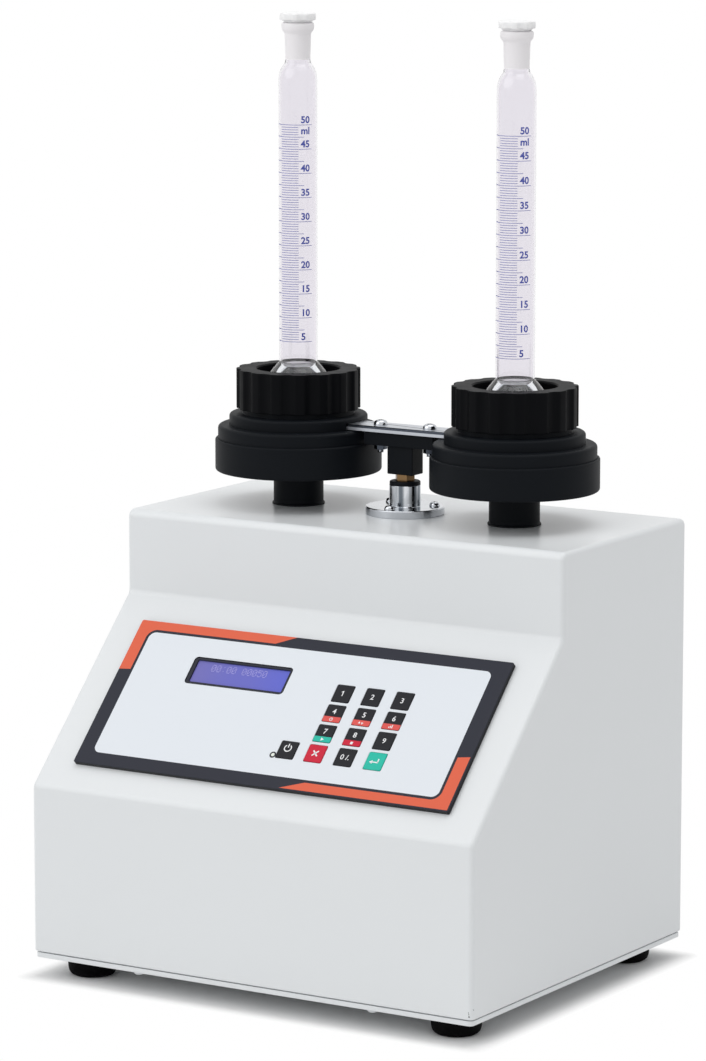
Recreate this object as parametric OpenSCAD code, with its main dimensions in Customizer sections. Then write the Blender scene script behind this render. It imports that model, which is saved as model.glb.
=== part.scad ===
// Bulk density apparatus: a console that taps two graduated glass cylinders.
// Millimetres, +Z up, front towards -Y. The origin is on the bench under the middle of the housing.

/* [Housing] */
// Width of the console
body_w = 300; // [285:1:360]
// Depth of the console
body_d = 246; // [240:1:300]
// Height of the lower front wall
front_h = 100; // [90:1:130]
// Depth of the sloped front
slope_run = 100; // [95:1:115]
// Rise of the sloped front
slope_rise = 100; // [95:1:115]
// Height of the upper front wall
upper_h = 50; // [40:1:80]
// Sheet thickness of the cover
sheet_t = 1.5; // [1:0.1:2.5]
// Outside radius of the bends across the front
bend_r = 5; // [3:0.5:8]
// Outside radius of the edges at the back and bottom
edge_r = 4; // [3:0.5:6]
// Width of the cover's inward flange at the bottom
return_w = 16; // [12:0.5:20]
// Seam between the cover and the base plate
seam = 0.5; // [0.2:0.1:0.9]
// Thickness of the base plate
base_t = 3; // [2:0.5:5]
// Radius of the base plate's corners
base_corner_r = 3; // [2:0.5:8]

/* [Feet and base screws] */
// Diameter of a rubber foot
foot_d = 30; // [24:1:36]
// Height of a rubber foot
foot_h = 12; // [10:0.5:20]
// Distance from the console's edges to the middle of a foot
foot_inset = 25; // [22:1:40]
// Diameter of the recess for a foot's screw head
foot_recess_d = 12; // [11:0.5:16]
// Depth of the recess for a foot's screw head
foot_recess_h = 6; // [5:0.5:8]
// Diameter of a foot screw
foot_screw_d = 5; // [4:0.5:6]
// Diameter of a base screw
base_screw_d = 4; // [3:0.5:5]
// Sideways distance from the middle to a base screw
base_screw_x = 80; // [60:1:95]

/* [Front panel] */
// Width of the panel plate
panel_w = 255; // [230:1:270]
// Height of the panel plate along the slope
panel_h = 103; // [95:1:110]
// Thickness of the panel plate
panel_t = 3; // [2:0.5:4]
// Distance from the lower bend to the panel's lower edge
panel_low = 17.7; // [12:0.1:20]
// Corner radius of the panel plate
panel_corner_r = 3; // [1:0.5:6]

/* [Display] */
// Width of the display window
display_w = 68; // [60:0.5:70]
// Height of the display window
display_h = 18.6; // [16:0.2:22]
// Thickness of the display window
display_t = 2.6; // [1.5:0.1:3]
// Distance from the panel's middle to the middle of the display
display_x = 45.3; // [44:0.1:60]
// Distance from the panel's lower edge to the middle of the display
display_v = 72.3; // [60:0.1:80]
// Width of the display module's circuit board
module_w = 80; // [76:1:84]
// Height of the display module's circuit board
module_h = 36; // [34:1:44]
// Depth of the display module's metal frame
module_t = 6.5; // [4:0.5:9]
// Width of the display frame's border round the window
module_border = 2; // [1:0.5:3]

/* [Keys] */
// Side of a square key
key_w = 11.7; // [10:0.1:12]
// Distance between key columns
key_pitch_x = 20; // [16:0.5:24]
// Distance between key rows
key_pitch_v = 14; // [13.8:0.1:15]
// Distance from the panel's middle to the first column
keys_x = 28.4; // [27:0.1:34]
// Distance from the panel's lower edge to the bottom row
keys_v = 26.4; // [24:0.1:30]
// Distance from the first column to the power key
power_step = 19; // [16:0.5:20]
// Height of a key above the panel
key_proud = 0.4; // [0.2:0.1:0.8]
// Travel of a key
key_travel = 0.4; // [0.2:0.1:0.6]
// Gap round a key
key_gap = 0.3; // [0.2:0.05:0.4]
// Thickness of the flange that holds a key in
key_flange_t = 0.8; // [0.6:0.1:1.2]
// Width of that flange outside the key
key_flange_w = 0.8; // [0.6:0.1:0.8]
// Diameter of a dome switch
dome_d = 6; // [5:0.5:8]
// Height of a dome switch
dome_h = 1.2; // [0.8:0.1:2]
// Diameter of the power light
led_d = 3; // [2.5:0.1:3.2]
// Diameter of the light's stem below the panel
led_stem_d = 2; // [1.5:0.1:2.5]
// Gap between the power key's flange and the light's stem
led_gap = 0.35; // [0.3:0.05:1]
// Distance down the panel from the power key's middle to the light
led_step_v = 4.3; // [3:0.1:6]
// Margin of the keypad board past the outer keys
keypad_margin = 10; // [9:0.5:14]

/* [Circuit boards] */
// Thickness of the circuit boards
pcb_t = 1.6; // [1:0.2:2]
// Diameter of the posts that carry the panel's boards
post_d = 5; // [4:0.5:6]
// Distance from a board's corner to its post, each way
post_inset = 2.5; // [2.5:0.1:3]
// Width of the control board
control_w = 80; // [60:1:85]
// Depth of the control board
control_d = 100; // [80:1:120]
// Height of the control board's standoffs
standoff_h = 10; // [6:1:16]
// Diameter of the control board's standoffs
standoff_d = 7; // [5:0.5:8]
// Side of the controller on the control board
controller_w = 14; // [8:0.5:20]
// Height of the controller
controller_h = 3; // [1:0.5:4]
// Width of the relay
relay_w = 16; // [10:0.5:20]
// Depth of the relay
relay_d = 20; // [12:0.5:28]
// Height of the relay
relay_h = 16; // [10:0.5:24]
// Width of the driver's heat sink
sink_w = 12; // [8:0.5:18]
// Depth of the driver's heat sink
sink_d = 24; // [16:0.5:30]
// Height of the driver's heat sink
sink_h = 25; // [12:0.5:30]
// Diameter of a smoothing capacitor
capacitor_d = 12; // [8:0.5:14]
// Height of a smoothing capacitor
capacitor_h = 22; // [12:0.5:30]
// Width of the power supply
supply_w = 80; // [60:1:85]
// Depth of the power supply
supply_d = 100; // [80:1:120]
// Height of the power supply
supply_h = 38; // [30:1:50]
// Width of the power supply's terminal block
terminal_w = 66; // [40:1:80]
// Depth of the terminal block
terminal_d = 12; // [8:0.5:16]
// Height of the terminal block
terminal_h = 14; // [8:0.5:20]
// Gap between the bottom flange and the boxes beside it
wall_gap = 4; // [2:0.5:6]

/* [Mains inlet] */
// Distance from the console's side to the middle of the inlet
inlet_inset = 55; // [45:1:80]
// Height of the inlet above the base plate
inlet_up = 40; // [30:1:60]
// Width of the inlet's flange
inlet_flange_w = 50; // [48:1:52]
// Height of the inlet's flange
inlet_flange_h = 24; // [23:0.5:28]
// Thickness of the inlet's flange
inlet_flange_t = 2; // [1.5:0.5:3]
// Width of the inlet's body
inlet_w = 27.4; // [27:0.2:30]
// Height of the inlet's body
inlet_h = 19.8; // [19:0.2:22]
// Depth of the inlet's body behind its flange
inlet_deep = 22; // [18:1:26]
// Wall round the socket
inlet_wall = 1.5; // [1:0.1:2]
// Depth of the socket
socket_deep = 17; // [14:0.5:18]
// Thickness of an inlet blade
blade_t = 2; // [1.5:0.5:3]
// Width of an inlet blade
blade_w = 4; // [3:0.5:5]
// Sideways distance from the middle to an outer blade
blade_step = 7; // [6:0.5:8]
// Distance of each blade above or below the middle
blade_rise = 2; // [1:0.5:3]
// Distance from a blade's tip to the flange's face
blade_set = 3; // [2:0.5:5]
// Distance between the inlet's screws
inlet_screw_step = 40; // [36:1:42]
// Diameter of an inlet screw
inlet_screw_d = 3; // [2.5:0.5:3.5]

/* [Stations] */
// Sideways distance from the middle to a station
station_x = 75; // [72:0.5:82]
// Height of the carriage's lift
lift = 14; // [3:0.5:14]
// Diameter of a guide bush
bush_d = 30; // [26:0.5:36]
// Height of a guide bush above the cover
bush_h = 20.5; // [16:0.5:30]
// Width of the rounded foot of a guide bush
bush_flare = 0.8; // [0.4:0.1:2]
// Diameter of the bush's threaded lower end
bush_spigot_d = 24; // [20:0.5:26]
// Length of the lower ends below the cover's sheet
spigot_h = 10; // [8:0.5:16]
// Width across the corners of a bush nut
bush_nut_d = 38; // [34:1:46]
// Thickness of a bush nut
bush_nut_t = 6; // [4:0.5:8]
// Diameter of a holder's guide shaft
shaft_d = 16; // [12:0.5:18]
// Length of a guide shaft below its bush
shaft_tail = 20; // [18:1:40]
// Depth of a guide shaft's seat in the base disc
shaft_seat = 10; // [6:0.5:14]

/* [Holders] */
// Diameter of a base disc
disc_d = 100; // [90:0.5:100]
// Height of a base disc
disc_h = 19.5; // [17:0.5:24]
// Diameter of an upper disc
upper_disc_d = 97.5; // [88:0.5:98]
// Height of an upper disc
upper_disc_h = 8; // [8:0.5:12]
// Width of the collar outside the cup's neck
collar_step = 8; // [6:0.5:12]
// Height of the collar
collar_h = 7; // [6:0.5:10]
// Height of the cup's neck above the collar
neck_h = 11; // [8:0.5:12]
// Wall of the cup's neck
cup_wall = 2.5; // [2:0.1:4]
// Gap between the glass foot and the cup's wall
cup_gap = 1; // [0.6:0.1:2]
// Thickness of the rubber seat pad
pad_t = 2; // [1:0.5:3]
// Diameter of the screw through a holder
holder_screw_d = 8; // [6:0.5:10]
// Diameter of its head
holder_head_d = 13; // [12:0.5:16]
// Height of its head
holder_head_h = 5; // [3:0.5:5]
// Length of its thread in the guide shaft
holder_thread = 18; // [10:1:24]

/* [Clamp rings] */
// Wall of a clamp ring outside its thread
ring_wall = 3.5; // [3:0.1:6]
// Height of a clamp ring
ring_h = 24; // [20:0.5:28]
// Gap between the collar and the clamp ring
ring_gap = 3; // [2:0.5:5]
// Diameter of the hole through a clamp ring
ring_hole_d = 50; // [44:0.5:54]
// Height of the lip round that hole
ring_lip = 11; // [9:0.5:13]
// Number of flutes round a clamp ring
flutes = 16; // [12:1:24]
// Depth of a flute
flute_deep = 1.2; // [0.6:0.1:1.6]
// Radius of a flute
flute_r = 5; // [3:0.5:6]
// Gap in the ring's thread
thread_gap = 0.3; // [0.2:0.05:0.4]

/* [Glass cylinders] */
// Outside diameter of the tube
tube_d = 23; // [20:0.5:26]
// Wall of the tube
tube_wall = 1; // [0.8:0.1:1.5]
// Length of the straight tube
tube_h = 168.6; // [120:0.2:220]
// Diameter of the glass foot
glass_foot_d = 60; // [56:0.5:64]
// Height of the foot's rim
foot_rim_h = 4; // [3:0.2:6]
// Diameter where the foot's flare meets its cone
flare_d = 36; // [32:0.5:40]
// Height of the foot's cone above its rim
cone_h = 17.6; // [15:0.2:20]
// Height of the flare between the cone and the tube
flare_h = 6.8; // [5:0.2:9]
// Wall of the hollow foot
foot_wall = 2.2; // [1.6:0.1:3]
// Diameter of the flat bottom inside the tube
floor_d = 14.6; // [10:0.2:17]
// Width of the step where the tube stands in the foot
foot_ledge = 1; // [0.5:0.1:2]
// Height of the shoulder
shoulder_h = 10.5; // [8:0.5:14]
// Outside diameter at the bottom of the neck
throat_d = 14.6; // [14:0.2:16]
// Outside diameter at the top of the neck
mouth_d = 15.7; // [15:0.1:17]
// Height of the neck
throat_h = 15.5; // [12:0.5:20]
// Diameter of the bead at the mouth
bead_d = 19.4; // [18:0.2:22]
// Height of the bead at the mouth
bead_h = 5; // [4:0.2:7]
// Height of the taper below the bead
bead_taper_h = 3; // [2:0.2:5]
// Wall of the neck
throat_wall = 1.2; // [1:0.1:1.5]

/* [Stoppers] */
// Width across the corners of a stopper's head
stopper_d = 21.4; // [20:0.2:26]
// Height of a stopper's head above its taper
stopper_h = 3.4; // [2:0.2:6]
// Height of the taper below a stopper's head
stopper_taper_h = 2.2; // [1:0.2:4]
// Diameter at the bottom of that taper
stopper_neck_d = 14.4; // [14:0.2:16]
// Length of a stopper's plug
plug_h = 15; // [10:0.5:18]
// Gap between the plug and the neck
plug_gap = 0.3; // [0.2:0.05:0.4]

/* [Link and lift rod] */
// Length of the link plate
link_l = 110; // [96:1:112]
// Width of the link plate
link_w = 20; // [16:0.5:24]
// Thickness of the link plate
link_t = 4; // [3:0.5:5]
// Gap round the link plate in a collar's slot
link_gap = 0.3; // [0.2:0.05:0.5]
// Length of the guide block's wings
wing_l = 48; // [46:0.5:48.5]
// Depth of the guide block's wings
wing_d = 16; // [14:0.5:18]
// Height of the guide block's wings
wing_h = 7.5; // [5:0.5:9]
// Width of the guide block's stem
stem_w = 17.4; // [15:0.2:19]
// Depth of the guide block's stem
stem_d = 12.5; // [10:0.5:16]
// Height of the guide block's stem
stem_h = 16; // [14:0.5:18]
// Diameter of the lift rod's threaded ends
rod_end_d = 6; // [5:0.5:7]
// Length of the lift rod's threaded ends
rod_end_l = 12; // [8:0.5:14]
// Distance between the link screws
link_screw_step = 34; // [32:0.5:36]
// Diameter of a link screw
link_screw_d = 4; // [3:0.5:4]
// Length of a link screw below the wing
link_screw_tail = 5; // [4:0.5:8]
// Diameter of the lift rod
rod_d = 11; // [10:0.5:12]
// Diameter of the follower's neck
follower_d = 10; // [8:0.5:10]
// Length of the follower's neck between its nose and the rod
follower_l = 10; // [8:0.5:14]
// Diameter of the guide flange
flange_d = 47; // [44:0.5:49]
// Thickness of the guide flange
flange_t = 4.8; // [3:0.2:7]
// Diameter of the guide flange's post
guide_post_d = 18.8; // [17:0.2:21]
// Height of the guide flange's post above the cover
guide_post_h = 19; // [12:0.5:20]
// Diameter of the circle of flange screws
flange_screw_pcd = 35; // [32:0.5:37]
// Diameter of a flange screw
flange_screw_d = 3.2; // [2.5:0.1:4]
// Number of flange screws
flange_screws_n = 3; // [3:1:6]

/* [Drive] */
// Height of the cam's shaft above the base plate
cam_up = 105; // [90:1:115]
// Smallest radius of the cam
cam_r = 18; // [15:0.5:22]
// Thickness of the cam
cam_t = 12; // [8:0.5:16]
// Turn of the cam over the whole lift, in degrees
cam_sweep = 320; // [300:1:324]
// Radius of the follower's nose
nose_r = 4; // [3:0.25:4.5]
// Gap between the cam and the follower's nose
cam_gap = 0.3; // [0.1:0.05:0.5]
// Diameter of the cam's hub
hub_d = 20; // [18:0.5:26]
// Length of the cam's hub
hub_l = 8; // [6:0.5:12]
// Diameter of the motor shaft
motor_shaft_d = 8; // [6:0.5:10]
// Depth of the motor shaft in its gearbox
motor_shaft_in = 15; // [10:1:20]
// Diameter of the gearbox
gearbox_d = 55; // [48:0.5:58]
// Length of the gearbox
gearbox_l = 45; // [35:1:50]
// Diameter of the motor
motor_d = 42; // [36:0.5:46]
// Length of the motor
motor_l = 60; // [45:1:65]
// Width of the motor bracket
bracket_w = 60; // [58:1:64]
// Height of the motor bracket above the shaft
bracket_over = 30; // [29:1:36]
// Depth of the motor bracket's foot
bracket_d = 60; // [50:1:70]
// Thickness of the motor bracket
bracket_t = 5; // [3:0.5:6]
// Distance from the bracket's edges to its screws
bracket_screw_inset = 10; // [7:0.5:12]
// Gap round the motor shaft in the bracket
bracket_bore_gap = 2; // [0.5:0.5:3]
// Length of the motor shaft past the cam
shaft_past = 2; // [1:0.5:5]
// Length of a motor screw in the gearbox
motor_thread = 7; // [5:0.5:10]
// Gap between the cam's hub and the bracket
hub_gap = 1; // [0.5:0.1:2]
// Diameter of the circle of motor screws
motor_screw_pcd = 38; // [36:0.5:42]
// Diameter of a drive screw
drive_screw_d = 4; // [3:0.5:5]
// Diameter of the cam's set screw
set_screw_d = 4; // [3:0.5:4]

/* [Clearances] */
// Length of a screw past the sheet that it holds
screw_tail = 3; // [1:0.5:5]
// Radial gap of a shaft that slides or turns
running_gap = 0.05; // [0.02:0.01:0.1]
// Radial gap round a screw or a fixed pin
screw_gap = 0.1; // [0.05:0.05:0.2]
// Gap round a piece in a sheet-metal cut-out
cutout_gap = 0.5; // [0.3:0.1:1]

/* [Hidden] */
$fn = 64;
ARC_STEPS = 6;
DOME_STEPS = 4;
SHOULDER_STEPS = 5;
OVER = 1;
SIDES = [-1, 1];
HEX = 6;
OCTAGON = 8;

// Heights of the housing
base_z = foot_h;
base_top = base_z + base_t;
cover_z = base_top + seam;
bend_z = cover_z + front_h;
upper_z = bend_z + slope_rise;
top_z = upper_z + upper_h;

// Depths of the housing
front_y = -body_d / 2;
back_y = body_d / 2;
top_front_y = front_y + slope_run;
station_y = (top_front_y + back_y) / 2;
slope_a = atan2(slope_rise, slope_run);

// Heights of a holder's stack
disc_z = top_z + bush_h;
upper_disc_z = disc_z + disc_h;
collar_z = upper_disc_z + upper_disc_h;
pad_z = collar_z + collar_h;
glass_z = pad_z + pad_t;
ring_z = pad_z + ring_gap;
lip_z = ring_z + ring_h - ring_lip;

// Diameters that fit round the glass foot
recess_d = glass_foot_d + 2 * cup_gap;
neck_d = recess_d + 2 * cup_wall;
ring_bore_d = neck_d + 2 * thread_gap;
ring_d = ring_bore_d + 2 * ring_wall;
collar_d = neck_d + 2 * collar_step;

// Heights of the glass, measured from the bottom of its foot
cone_z = foot_rim_h + cone_h;
tube_z = cone_z + flare_h;
shoulder_z = tube_z + tube_h;
throat_z = shoulder_z + shoulder_h;
bead_z = throat_z + throat_h + bead_taper_h;
mouth_z = bead_z + bead_h;
throat_in_z = throat_z - throat_wall;
mouth_r = mouth_d / 2 - throat_wall;
throat_r = throat_d / 2 - throat_wall;

// Link, guide block and lift rod
wing_z = collar_z - wing_h;
stem_z = wing_z - stem_h;
cam_z = base_top + cam_up;
nose_z = cam_z + cam_r + cam_gap + nose_r;
rod_bottom = nose_z + follower_l;
nut_t = 0.8 * link_screw_d;

// Depths of the drive, along Y
hub_y = station_y - cam_t / 2 - hub_l;
bracket_y = hub_y - hub_gap - bracket_t;
gearbox_y = bracket_y - gearbox_l;

// Panel and keys, measured along the slope from the lower bend
display_mid_v = panel_low + display_v;
key_row_v = panel_low + keys_v;
power_x = keys_x - power_step;
led_x = power_x - key_w / 2 - key_flange_w - led_gap - led_stem_d / 2;
led_v = key_row_v - led_step_v;
key_flange_top = -key_gap;
dome_top = key_flange_top - key_flange_t - key_travel - screw_gap;
keypad_top = dome_top - dome_h;
keypad_x0 = led_x - led_d;
keypad_x1 = keys_x + 2 * key_pitch_x + keypad_margin;
keypad_v0 = key_row_v - keypad_margin - post_d;
keypad_v1 = key_row_v + 3 * key_pitch_v + keypad_margin + post_d;
frame_w = display_w + 2 * module_border;
frame_h = display_h + 2 * module_border;

// Boxes on the base plate
control_x = -(body_w / 2 - return_w - wall_gap - control_w / 2);
supply_x = body_w / 2 - return_w - wall_gap - supply_w / 2;
board_z = base_top + standoff_h;
inlet_x = body_w / 2 - inlet_inset;
inlet_z = base_top + inlet_up;

// Colours
WHITE_PAINT = "#E3E6E8";
BLACK_PLASTIC = "#191B1E";
CHROME = "#C9CCD0";
STEEL = "#9EA2A6";
BRASS = "#C8A24A";
RUBBER = "#222222";
GLASS = "#CFE4EC";
PCB = "#1F6B3A";
KEY_BLACK = "#212126";

// Each key: node name, column and row from the bottom, colour
KEYS = [
    ["key_1", 0, 3, KEY_BLACK], ["key_2", 1, 3, KEY_BLACK], ["key_3", 2, 3, KEY_BLACK],
    ["key_4", 0, 2, KEY_BLACK], ["key_5", 1, 2, KEY_BLACK], ["key_6", 2, 2, KEY_BLACK],
    ["key_7", 0, 1, KEY_BLACK], ["key_8", 1, 1, KEY_BLACK], ["key_9", 2, 1, KEY_BLACK],
    ["key_cancel", 0, 0, "#D0213C"], ["key_0", 1, 0, KEY_BLACK], ["key_enter", 2, 0, "#2DBEA0"],
    ["key_power", -power_step / key_pitch_x, 0, KEY_BLACK]
];

// Outlines with round corners
function unit(v) = v / norm(v);
function wrapped(a) = a > 180 ? a - 360 : a < -180 ? a + 360 : a;
function corner(a, p, b, r) =
    let (
        ua = unit(a - p),
        ub = unit(b - p),
        half = acos(ua * ub) / 2,
        mid = p + unit(ua + ub) * r / sin(half),
        from = p + ua * r / tan(half) - mid,
        to = p + ub * r / tan(half) - mid,
        start = atan2(from.y, from.x),
        turn = wrapped(atan2(to.y, to.x) - start)
    )
    [for (i = [0:ARC_STEPS]) let (t = start + turn * i / ARC_STEPS) mid + r * [cos(t), sin(t)]];
function around(list, i) = list[(i + len(list)) % len(list)];
function rounded(pts, radii) =
    [for (i = [0:len(pts) - 1]) each corner(around(pts, i - 1), pts[i], around(pts, i + 1), radii[i])];
function left_of(d) = [-d.y, d.x];
function inset(pts, t) =
    [for (i = [0:len(pts) - 1])
        let (
            n0 = left_of(unit(pts[i] - around(pts, i - 1))),
            n1 = left_of(unit(around(pts, i + 1) - pts[i]))
        )
        pts[i] + (n0 + n1) * t / (1 + n0 * n1)];
function box_outline(w, d) = [[-w / 2, -d / 2], [w / 2, -d / 2], [w / 2, d / 2], [-w / 2, d / 2]];
function same(r, n) = [for (i = [1:n]) r];

// Side view of the cover: front bottom, back bottom, back top, top front, upper bend, lower bend
cover_outline = [
    [front_y, cover_z], [back_y, cover_z], [back_y, top_z],
    [top_front_y, top_z], [top_front_y, upper_z], [front_y, bend_z]
];
cover_radii = [edge_r, edge_r, edge_r, bend_r, bend_r, bend_r];
lining_radii = [for (i = [0:5]) cover_radii[i] + (i == 4 ? sheet_t : -sheet_t)];

// Snail cam: the path of the follower's middle rises evenly with the turn, and the edge runs inside it
CAM_LEAD = 8;
CAM_STEP = 4;
cam_rate = lift / cam_sweep * 180 / PI;
function cam_path(t) = cam_r + cam_gap + nose_r + lift * t / cam_sweep;
function cam_edge(t) =
    let (
        r = cam_path(t),
        out = [-sin(t), cos(t)],
        ahead = [-cos(t), -sin(t)],
        normal = unit(r * out - cam_rate * ahead)
    )
    r * out - (nose_r + cam_gap) * normal;

// Placing helpers
module along_x(w) {
    translate([-w / 2, 0, 0]) rotate([90, 0, 90]) linear_extrude(w) children();
}
module along_y(y, l) {
    translate([0, y + l, 0]) rotate([90, 0, 0]) linear_extrude(l) children();
}
module on_slope() {
    translate([0, front_y, bend_z]) rotate([slope_a, 0, 0]) children();
}
module at_corners(x, y) {
    for (sx = SIDES, sy = SIDES) translate([sx * x, sy * y, 0]) children();
}
module at_stations() {
    for (s = SIDES) at_station(s) children();
}
module at_station(s) {
    translate([s * station_x, station_y, 0]) children();
}
module at_base_screws() {
    at_corners(base_screw_x, body_d / 2 - return_w / 2) children();
}
module at_feet() {
    at_corners(body_w / 2 - foot_inset, body_d / 2 - foot_inset) children();
}
module at_flange_screws() {
    for (i = [1:flange_screws_n])
        rotate(360 * i / flange_screws_n - 90) translate([flange_screw_pcd / 2, 0, 0]) children();
}
module at_panel_posts(x0, x1, v0, v1) {
    for (x = [x0 + post_inset, x1 - post_inset], v = [v0 + post_inset, v1 - post_inset])
        translate([x, v, 0]) children();
}
module at_keypad_posts() {
    at_panel_posts(keypad_x0, keypad_x1, keypad_v0, keypad_v1) children();
}
module at_display_posts() {
    at_panel_posts(
        -display_x - module_w / 2, -display_x + module_w / 2,
        display_mid_v - module_h / 2, display_mid_v + module_h / 2
    ) children();
}
module at_keys() {
    for (k = KEYS) at_key(k) children();
}
module at_key(k) {
    translate([keys_x + k[1] * key_pitch_x, key_row_v + k[2] * key_pitch_v, 0]) children();
}

// Shapes that repeat
module tube_between(d, z0, z1) {
    translate([0, 0, z0]) cylinder(d = d, h = z1 - z0);
}
module block(x0, x1, y0, y1, z0, z1) {
    translate([x0, y0, z0]) cube([x1 - x0, y1 - y0, z1 - z0]);
}
module flat_box(w, d, z0, z1) {
    block(-w / 2, w / 2, -d / 2, d / 2, z0, z1);
}
// Dome-head screw with its head above z = 0 and its shank below
module dome_screw(d, l) {
    head_r = 0.9 * d;
    head_h = 0.7 * d;
    dome = [for (i = [0:DOME_STEPS]) let (t = 90 * i / DOME_STEPS) [head_r * cos(t), head_h * sin(t)]];
    rotate_extrude() polygon(concat([[0, -l], [d / 2, -l], [d / 2, 0]], dome));
}

// Housing
module cover() {
    color(WHITE_PAINT) difference() {
        along_x(body_w) polygon(rounded(cover_outline, cover_radii));
        along_x(body_w - 2 * sheet_t) polygon(rounded(inset(cover_outline, sheet_t), lining_radii));
        flat_box(body_w - 2 * return_w, body_d - 2 * return_w, cover_z - OVER, cover_z + sheet_t + OVER);
        at_base_screws() tube_between(base_screw_d + 2 * screw_gap, cover_z - OVER, cover_z + sheet_t + OVER);
        on_slope() {
            translate([-display_x, display_mid_v, 0])
                flat_box(module_w + 2 * cutout_gap, module_h + 2 * cutout_gap, -sheet_t - OVER, OVER);
            block(
                keypad_x0 - cutout_gap, keypad_x1 + cutout_gap,
                keypad_v0 - cutout_gap, keypad_v1 + cutout_gap, -sheet_t - OVER, OVER
            );
        }
        at_stations() tube_between(bush_spigot_d + 2 * cutout_gap, top_z - sheet_t - OVER, top_z + OVER);
        translate([0, station_y, 0]) {
            tube_between(guide_post_d + 2 * cutout_gap, top_z - sheet_t - OVER, top_z + OVER);
            at_flange_screws()
                tube_between(flange_screw_d + 2 * screw_gap, top_z - sheet_t - OVER, top_z + OVER);
        }
        translate([inlet_x, back_y, inlet_z]) {
            cut_h = inlet_h / 2 + cutout_gap;
            cut_w = inlet_w / 2 + cutout_gap;
            block(-cut_w, cut_w, -sheet_t - OVER, OVER, -cut_h, cut_h);
            for (s = SIDES) translate([s * inlet_screw_step / 2, 0, 0])
                along_y(-sheet_t - OVER, sheet_t + 2 * OVER) circle(d = inlet_screw_d + 2 * screw_gap);
        }
    }
}

module base_plate() {
    color(WHITE_PAINT) difference() {
        translate([0, 0, base_z])
            linear_extrude(base_t) polygon(rounded(box_outline(body_w, body_d), same(base_corner_r, 4)));
        at_feet() tube_between(foot_screw_d + 2 * screw_gap, base_z - OVER, base_top + OVER);
        at_base_screws() tube_between(base_screw_d + 2 * screw_gap, base_z - OVER, base_top + OVER);
        at_bracket_screws() tube_between(drive_screw_d + 2 * screw_gap, base_z - OVER, base_top + OVER);
    }
}

module feet() {
    color(RUBBER) at_feet() difference() {
        tube_between(foot_d, 0, foot_h);
        tube_between(foot_recess_d, -OVER, foot_recess_h);
        tube_between(foot_screw_d + 2 * screw_gap, 0, foot_h + OVER);
    }
}

module foot_screws() {
    length = foot_h - foot_recess_h + base_t + seam;
    color(STEEL) at_feet() translate([0, 0, foot_recess_h])
        mirror([0, 0, 1]) dome_screw(foot_screw_d, length);
}

module base_screws() {
    length = base_t + seam + sheet_t + screw_tail;
    color(STEEL) at_base_screws() translate([0, 0, base_z])
        mirror([0, 0, 1]) dome_screw(base_screw_d, length);
}

// Front panel
module panel_plate() {
    color("#2D2E38") on_slope() {
        difference() {
            translate([0, panel_low + panel_h / 2, 0])
                linear_extrude(panel_t)
                    polygon(rounded(box_outline(panel_w, panel_h), same(panel_corner_r, 4)));
            translate([-display_x, display_mid_v, 0])
                flat_box(display_w + 2 * key_gap, display_h + 2 * key_gap, -OVER, panel_t + OVER);
            at_keys() flat_box(key_w + 2 * key_gap, key_w + 2 * key_gap, -OVER, panel_t + OVER);
            translate([led_x, led_v, 0]) tube_between(led_d + 2 * screw_gap, -OVER, panel_t + OVER);
        }
        at_display_posts() tube_between(post_d, -module_t, 0);
        at_keypad_posts() tube_between(post_d, keypad_top, 0);
    }
}

module display_window() {
    color("#6E69C8") on_slope() translate([-display_x, display_mid_v, 0])
        flat_box(display_w, display_h, 0, display_t);
}

module display_module() {
    color(PCB) on_slope() translate([-display_x, display_mid_v, 0]) {
        flat_box(frame_w, frame_h, -module_t, 0);
        flat_box(module_w, module_h, -module_t - pcb_t, -module_t);
    }
}

module keypad_board() {
    color(PCB) on_slope()
        block(keypad_x0, keypad_x1, keypad_v0, keypad_v1, keypad_top - pcb_t, keypad_top);
}

module dome_switches() {
    color(STEEL) on_slope() at_keys() tube_between(dome_d, keypad_top, dome_top);
}

module power_led() {
    color("#7FD858") on_slope() translate([led_x, led_v, 0]) {
        tube_between(led_d, 0, panel_t);
        tube_between(led_stem_d, keypad_top, OVER);
    }
}

module key_cap(k) {
    flange = key_w + 2 * key_flange_w;
    color(k[3]) on_slope() at_key(k) {
        flat_box(key_w, key_w, key_flange_top - key_flange_t, panel_t + key_proud);
        flat_box(flange, flange, key_flange_top - key_flange_t, key_flange_top);
    }
}

// Boxes on the base plate
module at_standoffs() {
    translate([control_x, 0, 0])
        at_corners(control_w / 2 - standoff_d / 2, control_d / 2 - standoff_d / 2) children();
}

module board_standoffs() {
    color(BRASS) at_standoffs() tube_between(standoff_d, base_top, board_z);
}

module control_board() {
    part_z = board_z + pcb_t;
    color(PCB) translate([control_x, 0, 0]) {
        flat_box(control_w, control_d, board_z, part_z);
        // Controller, relay and driver heat sink
        translate([0, control_d / 10, 0]) flat_box(controller_w, controller_w, part_z, part_z + controller_h);
        translate([-control_w / 4, -control_d / 4, 0]) flat_box(relay_w, relay_d, part_z, part_z + relay_h);
        translate([control_w / 4, -control_d / 4, 0]) flat_box(sink_w, sink_d, part_z, part_z + sink_h);
        // Smoothing capacitors
        for (s = SIDES) translate([s * control_w / 5, control_d / 3, 0])
            tube_between(capacitor_d, part_z, part_z + capacitor_h);
    }
}

module power_supply() {
    color("#8C9094") translate([supply_x, 0, 0]) {
        flat_box(supply_w, supply_d, base_top, base_top + supply_h);
        // Terminal block on its front end
        translate([0, -supply_d / 2 - terminal_d / 2, 0])
            flat_box(terminal_w, terminal_d, base_top, base_top + terminal_h);
    }
}

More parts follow.
